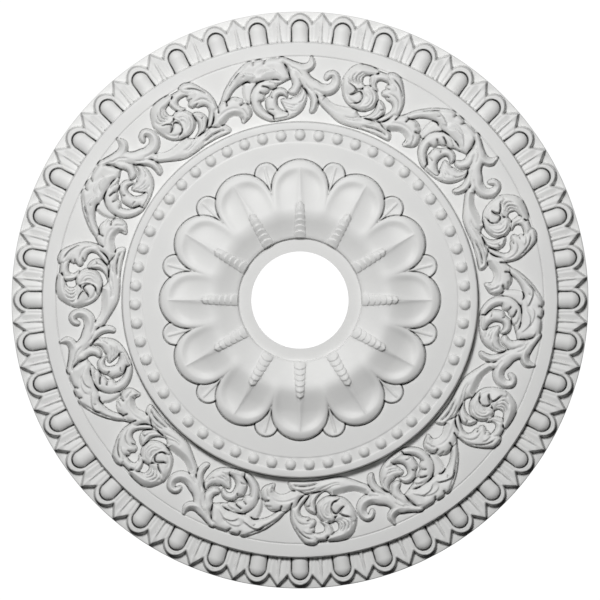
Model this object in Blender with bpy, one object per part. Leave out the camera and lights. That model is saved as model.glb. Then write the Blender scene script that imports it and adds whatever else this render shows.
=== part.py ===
"""A round ceiling rose, moulded in one piece.

The back lies flat at z = 0, where the ceiling is, and the carved face looks down along -Z.
The origin is on the axis of the central hole. Depth is measured down from the ceiling.
The carving is a height surface: every outline, ridge and hollow is drawn in plan, the plan
is triangulated, and each point is lowered to the depth that the carving has there.
"""

import math

import bmesh
import bpy
import numpy as np
from mathutils import Vector
from mathutils.geometry import delaunay_2d_cdt

# Turned form, from the hole outward: the width of each ring, and how far its wall leans.
HOLE_RADIUS = 0.0506
CENTRE_RING_WIDTH = 0.0134
PETAL_LENGTH = 0.0823
COVE_WIDTH = 0.0177
BEAD_ROW_WIDTH = 0.0134
FILLET_WIDTH = 0.0076
FILLET_WALL_RUN = 0.0018
FRIEZE_WIDTH = 0.0668
BAND_WIDTH = 0.0134
BAND_WALL_RUN = 0.0018
EGG_ROW_WIDTH = 0.0312
WALL_RUN = 0.0012

# Depths below the ceiling.
RIM_DEPTH = 0.0060
EGG_ROW_DEPTH = 0.0140
FRIEZE_DEPTH = 0.0215
FILLET_DEPTH = 0.0330
BEAD_SEAT_DEPTH = 0.0317
COVE_DEPTH = 0.0325
CENTRE_RING_DEPTH = 0.0340
PETAL_ROOT_DEPTH = 0.0400
PETAL_CREST_DEPTH = 0.0470
PETAL_HOLLOW_DEPTH = 0.0395
PETAL_LIP_DEPTH = 0.0400
PETAL_EDGE_DEPTH = 0.0380
SMALL_PETAL_ROOT_DEPTH = 0.0390
SMALL_PETAL_DEPTH = 0.0355

# Egg-and-dart row at the rim, a raised row with a scalloped edge and a hollow for each egg.
EGG_COUNT = 40
EGG_HALF_WIDTH = 0.0093
EGG_CAP = 0.0100
EGG_RISE = 0.0070
EGG_GROOVE = 0.0045
SHELL_SIDE_WIDTH = 0.0022
SHELL_TOP_WIDTH = 0.0036
SHELL_WALL_RUN = 0.0024
RIM_LEDGE = 0.0018
DART_HALF_WIDTH = 0.0060
DART_POINT = 0.0100
DART_RIB_RISE = 0.0016

# Beads.
BEAD_COUNT = 55
BEAD_RADIUS = 0.0055
BEAD_CLEARANCE = 0.0006

# Groove between the frieze and the flat band.
BORDER_GROOVE_DEPTH = 0.0009

# Rosette round the hole: big petals, with small ones showing between their tips.
# The places along a big petal are shares of its length. A big petal is hollowed on both sides of its
# middle, so that a ridge stands between neighbours.
PETAL_COUNT = 12
PETAL_CREST_SHARE = 0.355
PETAL_PART_SHARE = 0.535
PETAL_HOLLOW_SHARE = 0.765
PETAL_LIP_SHARE = 0.905
PETAL_DISH_DEPTH = 0.0022
SMALL_PETAL_PROUD = 0.0007
SMALL_PETAL_HALF_WIDTH = 0.0120
SMALL_PETAL_ROUND = 0.0150
TONGUE_LENGTH = 0.0378
TONGUE_ROOT_HALF_WIDTH = 0.0066
TONGUE_END_HALF_WIDTH = 0.0035
TONGUE_RISE = 0.0030

# Scrolling leaves in the frieze.
SCROLL_COUNT = 7
LEAF_RISE = 0.0085

# How finely the forms are faceted.
RING_SEGMENTS = 64
RIM_SEGMENTS = 120
HOLE_SEGMENTS = 48
EGG_ARCH_POINTS = 5
EGG_CROWN_POINTS = 3
PETAL_POINTS = 9
SMALL_PETAL_POINTS = 7
BEAD_RINGS = ((1.0, 6), (0.5, 3))
CROWN_SHARE = 0.45
SPLINE_STEPS = 12
LEAF_STEP = 0.0110
WELD_DISTANCE = 0.0004
NEAR = 1e-6

# Radii that follow from the widths.
CENTRE_RING_RADIUS = HOLE_RADIUS + CENTRE_RING_WIDTH
PETAL_CREST_RADIUS = CENTRE_RING_RADIUS + PETAL_LENGTH * PETAL_CREST_SHARE
PETAL_PART_RADIUS = CENTRE_RING_RADIUS + PETAL_LENGTH * PETAL_PART_SHARE
PETAL_HOLLOW_RADIUS = CENTRE_RING_RADIUS + PETAL_LENGTH * PETAL_HOLLOW_SHARE
PETAL_LIP_RADIUS = CENTRE_RING_RADIUS + PETAL_LENGTH * PETAL_LIP_SHARE
PETAL_TIP_RADIUS = CENTRE_RING_RADIUS + PETAL_LENGTH
SMALL_PETAL_TIP_RADIUS = PETAL_TIP_RADIUS + SMALL_PETAL_PROUD
SMALL_PETAL_ROUND_RADIUS = SMALL_PETAL_TIP_RADIUS - SMALL_PETAL_ROUND
TONGUE_END_RADIUS = CENTRE_RING_RADIUS + TONGUE_LENGTH
COVE_OUTER_RADIUS = PETAL_TIP_RADIUS + COVE_WIDTH
FILLET_INNER_RADIUS = COVE_OUTER_RADIUS + BEAD_ROW_WIDTH
BEAD_CIRCLE_RADIUS = FILLET_INNER_RADIUS - BEAD_CLEARANCE - BEAD_RADIUS
FILLET_OUTER_RADIUS = FILLET_INNER_RADIUS + FILLET_WIDTH
FRIEZE_INNER_RADIUS = FILLET_OUTER_RADIUS + FILLET_WALL_RUN
FRIEZE_OUTER_RADIUS = FRIEZE_INNER_RADIUS + FRIEZE_WIDTH
BAND_OUTER_RADIUS = FRIEZE_OUTER_RADIUS + BAND_WIDTH
EGG_ROW_INNER_RADIUS = BAND_OUTER_RADIUS + BAND_WALL_RUN
OUTER_RADIUS = EGG_ROW_INNER_RADIUS + EGG_ROW_WIDTH

# Places across the egg row, counted outward from its inner edge.
SHELL_FOOT = EGG_ROW_WIDTH - RIM_LEDGE
EGG_STRAIGHT = SHELL_FOOT - SHELL_WALL_RUN - SHELL_TOP_WIDTH - EGG_CAP
DART_WALL_RUN = SHELL_WALL_RUN * math.hypot(DART_HALF_WIDTH, DART_POINT) / DART_HALF_WIDTH
DART_TIP = SHELL_FOOT - DART_WALL_RUN
DART_SHOULDER = DART_TIP - DART_POINT

# One repeat of the scroll, drawn on a strip. Each leaf is a run of stations: degrees along the
# repeat, millimetres above the frieze's inner edge, and half width in millimetres.
STRIP_DEGREES = 360 / 7
STRIP_HEIGHT = 66.8
SCROLL_LEAVES = {
    "stem": (
        (5.0, 24, 3.5), (8.5, 17, 6.5), (14.0, 10.5, 8.0), (19.5, 9, 5.0), (25.0, 7.5, 3.5), (29.2, 3.5, 2.0),
    ),
    "spur": ((2.5, 29, 2.0), (4.2, 20, 4.0), (3.9, 9, 2.0)),
    "tendril": (
        (0.5, 40, 6.0), (4.5, 34, 5.5), (8.6, 33, 6.0), (9.9, 42, 4.5), (8.2, 50, 3.5), (6.6, 44, 1.5),
    ),
    "hook": ((-5.5, 59, 5.0), (-2.0, 55.5, 5.0), (1.2, 54, 4.5), (3.2, 59, 2.5), (2.8, 65, 0.8)),
    "shell": ((16.6, 22, 5.0), (13.6, 29, 8.5), (13.2, 43, 8.0), (15.2, 56, 7.0), (18.0, 60, 3.5)),
    "curl": ((17.6, 43, 3.0), (19.3, 38, 6.5), (19.0, 27, 7.0), (17.4, 22, 3.0)),
    "cap leaf": ((18.5, 55, 4.0), (21.5, 61.5, 5.0), (24.8, 56, 5.0), (27.0, 42, 5.0), (27.2, 29, 4.0)),
    "calyx": ((21.8, 33, 2.5), (23.0, 24, 5.0), (20.6, 15, 3.5)),
    "fan": ((26.5, 16, 6.0), (30.0, 23, 7.5), (33.8, 23, 7.5), (35.8, 16, 5.0), (34.8, 8, 2.5)),
    "frond": (
        (29.6, 34, 2.5), (33.0, 47, 5.0), (37.5, 59, 5.5), (43.5, 61, 5.5), (47.2, 52, 5.5), (48.3, 43, 3.0),
    ),
    "volute": (
        (50.8, 43, 4.5), (52.4, 30, 5.0), (51.2, 14, 8.0), (46.5, 5.5, 5.0), (41.0, 6.5, 4.5),
        (38.6, 22, 4.0), (40.0, 37, 5.0), (44.0, 42, 4.5),
    ),
    "volute eye": ((47.2, 29, 2.5), (44.6, 30.5, 4.5), (43.0, 20, 5.5), (44.2, 10, 4.5)),
}

PLASTIC_COLOUR = (0.80, 0.80, 0.79, 1.0)
PLASTIC_ROUGHNESS = 0.55
SHARP_ANGLE = math.radians(35)


def place(radius, turn):
    """Plan position at a radius and a clockwise turn, in radians, as the face is seen from below."""
    return radius * np.sin(turn), -radius * np.cos(turn)


def smooth_run(stations):
    """A Catmull-Rom curve through the stations, finely divided."""
    points = np.array(stations, float)
    padded = np.vstack([2 * points[0] - points[1], points, 2 * points[-1] - points[-2]])
    runs = []
    for before, start, end, after in zip(padded, padded[1:], padded[2:], padded[3:]):
        for t in np.linspace(0, 1, SPLINE_STEPS, endpoint=False):
            linear = end - before
            square = 2 * before - 5 * start + 4 * end - after
            cube = 3 * start - 3 * end + after - before
            runs.append(start + 0.5 * (linear * t + square * t**2 + cube * t**3))
    return np.array(runs + [points[-1]])


def even_steps(line, step):
    """Positions along a line, in steps of equal length near the one given."""
    length = np.concatenate([[0], np.cumsum(np.linalg.norm(np.diff(line, axis=0), axis=1))])
    count = max(2, round(length[-1] / step))
    return length, np.linspace(0, length[-1], count + 1)


def scroll_leaf(stations, repeat):
    """Plan points and half widths along one leaf of one repeat."""
    run = smooth_run(stations)
    scale = FRIEZE_WIDTH / STRIP_HEIGHT
    turn = (run[:, 0] / STRIP_DEGREES + repeat) * math.tau / SCROLL_COUNT
    radius = FRIEZE_INNER_RADIUS + run[:, 1] * scale
    half_width = run[:, 2] * scale
    x, y = place(radius, turn)
    length, steps = even_steps(np.column_stack([x, y]), LEAF_STEP)
    line = np.column_stack([np.interp(steps, length, x), np.interp(steps, length, y)])
    return line, np.interp(steps, length, half_width)


def scroll_leaves():
    return [
        scroll_leaf(stations, repeat)
        for repeat in range(SCROLL_COUNT)
        for stations in SCROLL_LEAVES.values()
    ]


def turned_depth(radius):
    """Depth of the turned form alone: its flats, cove, fillet and walls."""
    steps = (
        (HOLE_RADIUS, CENTRE_RING_DEPTH),
        (PETAL_PART_RADIUS, CENTRE_RING_DEPTH),
        (SMALL_PETAL_TIP_RADIUS, COVE_DEPTH),
        (COVE_OUTER_RADIUS, COVE_DEPTH),
        (COVE_OUTER_RADIUS + WALL_RUN, BEAD_SEAT_DEPTH),
        (FILLET_INNER_RADIUS - WALL_RUN, BEAD_SEAT_DEPTH),
        (FILLET_INNER_RADIUS, FILLET_DEPTH),
        (FILLET_OUTER_RADIUS, FILLET_DEPTH),
        (FRIEZE_INNER_RADIUS, FRIEZE_DEPTH),
        (FRIEZE_OUTER_RADIUS - WALL_RUN, FRIEZE_DEPTH),
        (FRIEZE_OUTER_RADIUS, FRIEZE_DEPTH - BORDER_GROOVE_DEPTH),
        (FRIEZE_OUTER_RADIUS + WALL_RUN, FRIEZE_DEPTH),
        (BAND_OUTER_RADIUS, FRIEZE_DEPTH),
        (EGG_ROW_INNER_RADIUS, RIM_DEPTH),
        (OUTER_RADIUS, RIM_DEPTH),
    )
    radii, depths = zip(*steps)
    return np.interp(radius, radii, depths)


def petal_share(radius, off_middle, half_angle, round_radius, tip):
    """How far a point lies across a petal: 1 on its outline, which is an ellipse past round_radius."""
    up = np.clip(radius - round_radius, 0, None) / (tip - round_radius)
    return np.hypot(off_middle / half_angle, up)


def big_petal():
    return math.pi / PETAL_COUNT, PETAL_PART_RADIUS, PETAL_TIP_RADIUS


def small_petal():
    half_angle = SMALL_PETAL_HALF_WIDTH / SMALL_PETAL_ROUND_RADIUS
    return half_angle, SMALL_PETAL_ROUND_RADIUS, SMALL_PETAL_TIP_RADIUS


def petal_depth(radius, turn):
    """Depth of the rosette: big petals, the small ones behind them and the tongues on the big ones."""
    pitch = math.tau / PETAL_COUNT
    off_big = (turn + pitch / 2) % pitch - pitch / 2
    off_small = turn % pitch - pitch / 2
    half_angle = small_petal()[0]
    inside = (1 - petal_share(radius, off_small, *small_petal())) * half_angle * radius
    slope = (PETAL_PART_RADIUS, SMALL_PETAL_ROUND_RADIUS), (SMALL_PETAL_ROOT_DEPTH, SMALL_PETAL_DEPTH)
    small = np.interp(radius, *slope) - COVE_DEPTH
    behind = COVE_DEPTH + small * np.clip(inside / WALL_RUN, 0, 1)
    profile = (
        (CENTRE_RING_RADIUS, PETAL_ROOT_DEPTH),
        (PETAL_CREST_RADIUS, PETAL_CREST_DEPTH),
        (PETAL_HOLLOW_RADIUS, PETAL_HOLLOW_DEPTH),
        (PETAL_LIP_RADIUS, PETAL_LIP_DEPTH),
        (PETAL_TIP_RADIUS, PETAL_EDGE_DEPTH),
    )
    big = np.interp(radius, *zip(*profile)) - dish_depth(radius, off_big)
    inside = (1 - petal_share(radius, off_big, *big_petal())) * pitch / 2 * radius
    joined = radius <= PETAL_PART_RADIUS + NEAR
    surface = np.where(joined, big, behind + (big - behind) * np.clip(inside / WALL_RUN, 0, 1))
    surface = surface + tongue_rise(radius, off_big)
    from_ring = np.clip((radius - CENTRE_RING_RADIUS) / WALL_RUN, 0, 1)
    return CENTRE_RING_DEPTH + (surface - CENTRE_RING_DEPTH) * from_ring


def dish_depth(radius, off_big):
    """How far a big petal's hollows lie below its ridges: full from where petals part to the lip's foot."""
    across = 1 - np.abs(4 * np.abs(off_big) * PETAL_COUNT / math.tau - 1)
    stops = (PETAL_CREST_RADIUS, PETAL_PART_RADIUS, PETAL_HOLLOW_RADIUS, PETAL_LIP_RADIUS)
    return PETAL_DISH_DEPTH * across * np.interp(radius, stops, (0, 1, 1, 0))


def tongue_half_width(radius):
    span = (CENTRE_RING_RADIUS, TONGUE_END_RADIUS)
    width = np.interp(radius, span, (TONGUE_ROOT_HALF_WIDTH, TONGUE_END_HALF_WIDTH))
    round_end = np.sqrt(np.clip((TONGUE_END_RADIUS - radius) / TONGUE_END_HALF_WIDTH, 0, 1))
    return width * round_end


def tongue_rise(radius, off_big):
    """Height of the tongue that lies on a big petal's middle."""
    share = np.clip(np.abs(off_big) * radius / np.maximum(tongue_half_width(radius), NEAR), 0, 1)
    return TONGUE_RISE * np.sqrt(1 - share**2) * (radius < TONGUE_END_RADIUS - NEAR)


def bead_depth(radius, turn):
    pitch = math.tau / BEAD_COUNT
    off = (turn + pitch / 2) % pitch - pitch / 2
    square = (off * BEAD_CIRCLE_RADIUS) ** 2 + (radius - BEAD_CIRCLE_RADIUS) ** 2
    return BEAD_SEAT_DEPTH + np.sqrt(np.clip(BEAD_RADIUS**2 - square, 0, None))


def arch_distance(side, out, half_width, cap):
    """How far a point lies outside an arch: straight legs and a round top."""
    above = np.clip(out - EGG_STRAIGHT, 0, None)
    return (np.hypot(side / half_width, above / cap) - 1) * half_width


def shell_crown():
    """Half width and cap height of the arch at the top of the shell's outer wall."""
    return EGG_HALF_WIDTH + SHELL_SIDE_WIDTH, EGG_CAP + SHELL_TOP_WIDTH


def dart_distance(side, out):
    """How far a point lies outside the crown of a dart: straight sides and a point."""
    taper = DART_HALF_WIDTH * (DART_TIP - out) / DART_POINT
    lean = math.hypot(DART_HALF_WIDTH, DART_POINT) / DART_POINT
    return np.maximum(np.abs(side) - DART_HALF_WIDTH, (np.abs(side) - taper) / lean)


def egg_row_depth(radius, turn):
    """Depth of the raised row: shells, darts between them and eggs in their hollows."""
    pitch = math.tau / EGG_COUNT
    side = ((turn + pitch / 2) % pitch - pitch / 2) * radius
    dart_side = (turn % pitch - pitch / 2) * radius
    out = radius - EGG_ROW_INNER_RADIUS
    from_egg = arch_distance(side, out, EGG_HALF_WIDTH, EGG_CAP)
    from_shell = arch_distance(side, out, *shell_crown())
    from_dart = dart_distance(dart_side, out)
    outside = np.minimum(from_shell, from_dart)
    raised = np.where(out < DART_SHOULDER, 1, np.clip(1 - outside / SHELL_WALL_RUN, 0, 1))
    row = RIM_DEPTH + (EGG_ROW_DEPTH - RIM_DEPTH) * raised
    rib = DART_RIB_RISE * np.clip(1 - np.abs(dart_side) / DART_HALF_WIDTH * 2, 0, 1)
    row = row + np.where(from_dart < 0, rib * np.clip(1 - out / DART_TIP, 0, 1), 0)
    hollow = EGG_ROW_DEPTH - EGG_GROOVE
    share = np.clip(1 + from_egg / EGG_HALF_WIDTH, 0, 1)
    egg = hollow + EGG_RISE * np.sqrt(1 - share**2)
    groove = hollow + (row - hollow) * np.clip(from_egg / WALL_RUN, 0, 1)
    return np.where(from_egg <= 0, egg, groove)


def leaf_depth(points):
    """Depth of the frieze's leaves at plan points: rounded ridges along their middle lines."""
    depth = np.full(len(points), FRIEZE_DEPTH)
    for line, half_width in scroll_leaves():
        start, along = line[:-1], np.diff(line, axis=0)
        to_start = points[:, None] - start[None]
        share = np.clip((to_start * along).sum(2) / (along**2).sum(1), 0, 1)
        away = np.linalg.norm(to_start - share[..., None] * along, axis=2)
        width = half_width[:-1] + share * np.diff(half_width)
        across = (away / width).min(axis=1)
        rise = LEAF_RISE * np.sqrt(np.clip(1 - across**2, 0, None))
        depth = np.maximum(depth, FRIEZE_DEPTH + rise)
    return depth


def carved_depth(points):
    """Depth of the finished face at plan points."""
    radius = np.hypot(points[:, 0], points[:, 1])
    turn = np.arctan2(points[:, 0], -points[:, 1]) % math.tau
    depth = turned_depth(radius)
    rows = (
        (CENTRE_RING_RADIUS, SMALL_PETAL_TIP_RADIUS, petal_depth),
        (BEAD_CIRCLE_RADIUS - BEAD_RADIUS, BEAD_CIRCLE_RADIUS + BEAD_RADIUS, bead_depth),
        (EGG_ROW_INNER_RADIUS, OUTER_RADIUS - 2 * NEAR, egg_row_depth),
    )
    for inner, outer, row_depth in rows:
        inside = (radius >= inner - NEAR) & (radius <= outer + NEAR)
        depth = np.where(inside, np.maximum(depth, row_depth(radius, turn)), depth)
    in_frieze = (radius > FRIEZE_INNER_RADIUS + NEAR) & (radius < FRIEZE_OUTER_RADIUS + WALL_RUN)
    depth[in_frieze] = np.maximum(depth[in_frieze], leaf_depth(points[in_frieze]))
    return depth


class Plan:
    """Points and lines of the face in plan. Points that fall on one another are welded."""

    def __init__(self):
        self.points = []
        self.lines = []
        self.cells = {}

    def point(self, x, y):
        column, row = round(x / WELD_DISTANCE), round(y / WELD_DISTANCE)
        for near in ((column + i, row + j) for i in (-1, 0, 1) for j in (-1, 0, 1)):
            index = self.cells.get(near)
            if index is not None and math.dist(self.points[index], (x, y)) < WELD_DISTANCE:
                return index
        self.points.append((float(x), float(y)))
        self.cells[column, row] = len(self.points) - 1
        return len(self.points) - 1

    def line(self, radii, turns, closed=False):
        x, y = place(np.asarray(radii, float), np.asarray(turns, float))
        self.run(np.column_stack(np.broadcast_arrays(x, y)), closed)

    def run(self, points, closed=False):
        indices = [self.point(x, y) for x, y in points]
        ends = indices[1:] + indices[:1] if closed else indices[1:]
        self.lines += [pair for pair in zip(indices, ends) if pair[0] != pair[1]]

    def ring(self, radius, segments):
        self.line(radius, np.arange(segments) * math.tau / segments, closed=True)


def draw_turned_form(plan):
    plan.ring(HOLE_RADIUS, HOLE_SEGMENTS)
    plan.ring(CENTRE_RING_RADIUS, HOLE_SEGMENTS)
    for radius in (
        COVE_OUTER_RADIUS,
        COVE_OUTER_RADIUS + WALL_RUN,
        FILLET_INNER_RADIUS,
        FILLET_OUTER_RADIUS,
        FRIEZE_INNER_RADIUS,
        FRIEZE_OUTER_RADIUS - WALL_RUN,
        FRIEZE_OUTER_RADIUS,
        FRIEZE_OUTER_RADIUS + WALL_RUN,
        BAND_OUTER_RADIUS,
    ):
        plan.ring(radius, RING_SEGMENTS)
    plan.ring(OUTER_RADIUS, RIM_SEGMENTS)


def egg_arch(half_width, cap, points, legs):
    """Sideways and outward places on an arch, with or without the feet of its legs."""
    sweep = np.linspace(-math.pi / 2, math.pi / 2, points)
    side = half_width * np.sin(sweep)
    out = EGG_STRAIGHT + cap * np.cos(sweep)
    if legs:
        side = np.concatenate([side[:1], side, side[-1:]])
        out = np.concatenate([[0], out, [0]])
    return side, out


def draw_egg_row(plan):
    """For each egg its groove, its crown and its shell, and between the eggs a dart."""

    def draw(middle, side, out):
        radius = EGG_ROW_INNER_RADIUS + np.asarray(out)
        plan.line(radius, middle + np.asarray(side) / radius)

    crown_width, crown_cap = EGG_HALF_WIDTH * (1 - CROWN_SHARE), EGG_CAP * (1 - CROWN_SHARE)
    shell_width, shell_cap = shell_crown()
    for index in range(EGG_COUNT):
        middle = index * math.tau / EGG_COUNT
        draw(middle, *egg_arch(EGG_HALF_WIDTH, EGG_CAP, EGG_ARCH_POINTS, legs=True))
        draw(middle, *egg_arch(crown_width, crown_cap, EGG_CROWN_POINTS, legs=True))
        draw(middle, *egg_arch(shell_width, shell_cap, EGG_ARCH_POINTS, legs=True))
        foot_width, foot_cap = shell_width + SHELL_WALL_RUN, shell_cap + SHELL_WALL_RUN
        side, out = egg_arch(foot_width, foot_cap, EGG_ARCH_POINTS, legs=False)
        draw(middle, side[1:-1], out[1:-1])
        between = middle + math.pi / EGG_COUNT
        crown = DART_HALF_WIDTH * np.array([-1, -1, 0, 1, 1])
        draw(between, crown, (0, DART_SHOULDER, DART_TIP, DART_SHOULDER, 0))
        foot = DART_HALF_WIDTH + SHELL_WALL_RUN
        draw(between, (-foot, 0, foot), (DART_SHOULDER, SHELL_FOOT, DART_SHOULDER))
        draw(between, (0, 0), (0, DART_SHOULDER))


def draw_beads(plan):
    for index in range(BEAD_COUNT):
        middle = np.array(place(BEAD_CIRCLE_RADIUS, index * math.tau / BEAD_COUNT))
        for share, sides in BEAD_RINGS:
            turns = np.arange(sides) * math.tau / sides
            points = middle + BEAD_RADIUS * share * np.column_stack([np.sin(turns), np.cos(turns)])
            plan.run(points, closed=True)


def petal_outline(half_angle, round_radius, tip, scale, steps):
    """Turns and radii on a petal's round end, drawn in by a scale."""
    sweep = np.linspace(-math.pi / 2, math.pi / 2, steps)
    return half_angle * scale * np.sin(sweep), round_radius + (tip - round_radius) * scale * np.cos(sweep)


def draw_rosette(plan):
    pitch = math.tau / PETAL_COUNT
    drawn_in = 1 - WALL_RUN / (PETAL_PART_RADIUS * pitch / 2)
    root = CENTRE_RING_RADIUS + WALL_RUN
    plan.ring(root, HOLE_SEGMENTS)
    for index in range(PETAL_COUNT):
        big = index * pitch
        small = big + pitch / 2
        plan.line((root, PETAL_CREST_RADIUS, PETAL_PART_RADIUS), small)
        for way in (-1, 1):
            plan.line((PETAL_CREST_RADIUS, PETAL_PART_RADIUS, PETAL_HOLLOW_RADIUS), big + way * pitch / 4)
        for scale in (1, drawn_in):
            turns, radii = petal_outline(*big_petal(), scale, PETAL_POINTS)
            plan.line(radii, big + turns)
        drawn_in_small = 1 - WALL_RUN / SMALL_PETAL_HALF_WIDTH
        for scale in (1, drawn_in_small):
            turns, radii = petal_outline(*small_petal(), scale, SMALL_PETAL_POINTS)
            plan.line(radii[1:-1], small + turns[1:-1])
        plan.line(PETAL_LIP_RADIUS, big + pitch / 2 * CROWN_SHARE * np.array([-1, 0, 1]))
        along = np.linspace(root, TONGUE_END_RADIUS - TONGUE_END_HALF_WIDTH, 3)
        for share in (-1, 1):
            plan.line(along, big + share * tongue_half_width(along) / along)
        middle = (root, PETAL_CREST_RADIUS, TONGUE_END_RADIUS, PETAL_HOLLOW_RADIUS, PETAL_LIP_RADIUS)
        plan.line(middle, big)


def draw_scroll(plan):
    """Each leaf's ridge and its two feet."""
    for line, half_width in scroll_leaves():
        along = np.gradient(line, axis=0)
        along /= np.linalg.norm(along, axis=1)[:, None]
        across = np.column_stack([-along[:, 1], along[:, 0]]) * half_width[:, None]
        plan.run(line)
        plan.run(line + across)
        plan.run(line - across)


def face_mesh():
    """Plan points, depths and triangles of the carved face."""
    plan = Plan()
    draw_turned_form(plan)
    draw_egg_row(plan)
    draw_beads(plan)
    draw_rosette(plan)
    draw_scroll(plan)
    points = [Vector(point) for point in plan.points]
    points, _, triangles, *_ = delaunay_2d_cdt(points, plan.lines, [], 0, WELD_DISTANCE / 4)
    flat = np.array([(point.x, point.y) for point in points])
    triangles = np.array(triangles)
    outside_hole = np.hypot(flat[:, 0], flat[:, 1]) > HOLE_RADIUS + WELD_DISTANCE
    triangles = triangles[outside_hole[triangles].any(axis=1)]
    return flat, carved_depth(flat), triangles


def build_rose():
    """Closes the carved face with the rim, the flat back and the wall of the hole."""
    flat, depth, triangles = face_mesh()
    form = bmesh.new()
    front = [form.verts.new((x, y, -z)) for (x, y), z in zip(flat, depth)]
    for triangle in triangles:
        form.faces.new([front[index] for index in triangle])
    border = [edge for edge in form.edges if edge.is_boundary]
    walls = bmesh.ops.extrude_edge_only(form, edges=border)["geom"]
    back = [item for item in walls if isinstance(item, bmesh.types.BMVert)]
    for vert in back:
        vert.co.z = 0
    back_edges = [edge for edge in form.edges if edge.is_boundary]
    bmesh.ops.triangle_fill(form, use_beauty=True, use_dissolve=False, edges=back_edges)
    bmesh.ops.recalc_face_normals(form, faces=form.faces)
    bmesh.ops.triangulate(form, faces=form.faces)
    mesh = bpy.data.meshes.new("ceiling_rose")
    form.to_mesh(mesh)
    form.free()
    mesh.shade_smooth()
    mesh.set_sharp_from_angle(angle=SHARP_ANGLE)
    rose = bpy.data.objects.new("ceiling_rose", mesh)
    bpy.context.scene.collection.objects.link(rose)
    return rose


def moulded_plastic():
    material = bpy.data.materials.new("primed_white_plastic")
    material.use_nodes = True
    shader = material.node_tree.nodes["Principled BSDF"]
    shader.inputs["Base Color"].default_value = PLASTIC_COLOUR
    shader.inputs["Roughness"].default_value = PLASTIC_ROUGHNESS
    shader.inputs["Metallic"].default_value = 0.0
    return material


def main():
    for obj in list(bpy.data.objects):
        bpy.data.objects.remove(obj)
    build_rose().data.materials.append(moulded_plastic())


main()
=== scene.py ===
import math

import bmesh
import bpy
import numpy as np
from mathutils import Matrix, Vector


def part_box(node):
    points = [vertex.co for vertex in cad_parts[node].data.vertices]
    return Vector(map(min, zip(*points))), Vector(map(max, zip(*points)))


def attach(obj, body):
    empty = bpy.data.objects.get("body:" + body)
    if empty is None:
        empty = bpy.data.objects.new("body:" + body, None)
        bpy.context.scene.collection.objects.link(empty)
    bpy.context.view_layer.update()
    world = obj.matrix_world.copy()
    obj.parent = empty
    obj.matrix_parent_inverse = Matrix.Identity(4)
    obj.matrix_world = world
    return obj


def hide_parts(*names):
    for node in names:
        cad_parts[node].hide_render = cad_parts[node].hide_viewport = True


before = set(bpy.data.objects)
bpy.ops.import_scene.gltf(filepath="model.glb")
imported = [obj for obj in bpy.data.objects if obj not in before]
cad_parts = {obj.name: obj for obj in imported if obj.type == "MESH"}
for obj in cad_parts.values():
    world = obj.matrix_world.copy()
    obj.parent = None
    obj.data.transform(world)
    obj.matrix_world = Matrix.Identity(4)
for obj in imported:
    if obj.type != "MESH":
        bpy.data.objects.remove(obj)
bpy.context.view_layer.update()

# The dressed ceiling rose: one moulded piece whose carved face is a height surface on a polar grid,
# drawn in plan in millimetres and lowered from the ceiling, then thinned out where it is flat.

NODE = "ceiling_rose"
LOW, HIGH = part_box(NODE)

# The drawing is in millimetres for a rose of this radius, and is scaled to the frame.
DRAWN_RADIUS = 300.0
DRAWN_DEPTH = 50.0
TINY = 1e-6
PLAN_SCALE = (HIGH[0] - LOW[0]) / 2 / DRAWN_RADIUS
DEPTH_SCALE = (HIGH[2] - LOW[2]) / DRAWN_DEPTH

# Turned form, from the hole outward: radii.
HOLE = 50.6
CENTRE_RING = 64.0
PETAL_PART = 108.0
PETAL_TIP = 145.6
SMALL_PETAL_ROUND = 132.0
SMALL_PETAL_TIP = 146.4
COVE_END = 164.0
FILLET_START = 177.4
FILLET_END = 183.9
FRIEZE_START = 185.0
BORDER = 253.6
BAND_END = 267.2
EGG_ROW_START = 268.5
RIM = 300.0
WALL_RUN = 0.8
BEAD_SEAT_STEP = (COVE_END - 0.6, COVE_END + 0.2)
BEAD_SEAT_END = FILLET_START - 0.8
ROSETTE_END = SMALL_PETAL_TIP + 0.5

# Depths below the ceiling.
RIM_DEPTH = 6.0
EGG_ROW_DEPTH = 14.0
FRIEZE_DEPTH = 21.5
FILLET_DEPTH = 33.0
BEAD_SEAT_DEPTH = 31.7
COVE_DEPTH = 32.5
CENTRE_RING_DEPTH = 35.0
BORDER_GROOVE_DEPTH = 0.9

# Rosette. The crest line runs along a petal's midrib and edges, as radius and depth, and its two halves
# are hollowed below that line. What fades in or out along the radius has the length of the fade beside it.
PETALS = 12
PETAL_CREST = (
    (64.0, 38.2), (70.0, 39.5), (78.0, 42.0), (86.0, 45.0), (90.0, 46.0), (94.0, 46.4), (100.0, 45.8),
    (108.0, 43.6), (118.0, 40.6), (124.0, 39.5), (130.0, 39.1), (138.0, 39.4), (147.0, 39.2),
)
HOLLOW = ((64.0, 0.0), (84.0, 0.1), (94.0, 0.9), (102.0, 1.9), (112.0, 2.4), (128.0, 2.4), (147.0, 2.2))
HOLLOW_FROM_LIP = 4.0
TONGUE_FOOT_RISE = 1.0
TONGUE_FOOT = 5.0
TONGUE_FOOT_END = 106.0
TONGUE_FOOT_FADE = 16.0
LIP_SIDE_WIDTH = 2.6
LIP_TIP_WIDTH = 8.0
LIP_START = 100.0
LIP_FADE = 16.0
LIP_SLOPE = 0.43
LIP_CURVE = 1.7
MIDRIB = ((100.0, 4.4), (116.0, 2.6), (134.0, 1.0))
MIDRIB_RISE = 0.5
MIDRIB_START, MIDRIB_START_FADE = 92.0, 12.0
MIDRIB_END, MIDRIB_END_FADE = 139.0, 5.0
PETAL_WALL_RUN = 0.7
PETAL_GROOVE = 1.3
PETAL_GROOVE_WIDTH = 0.6
PETAL_GROOVE_OUT = 0.3
PETAL_GROOVE_FADE = 6.0
SMALL_PETAL_HALF_ANGLE = math.radians(5.2)
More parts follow.
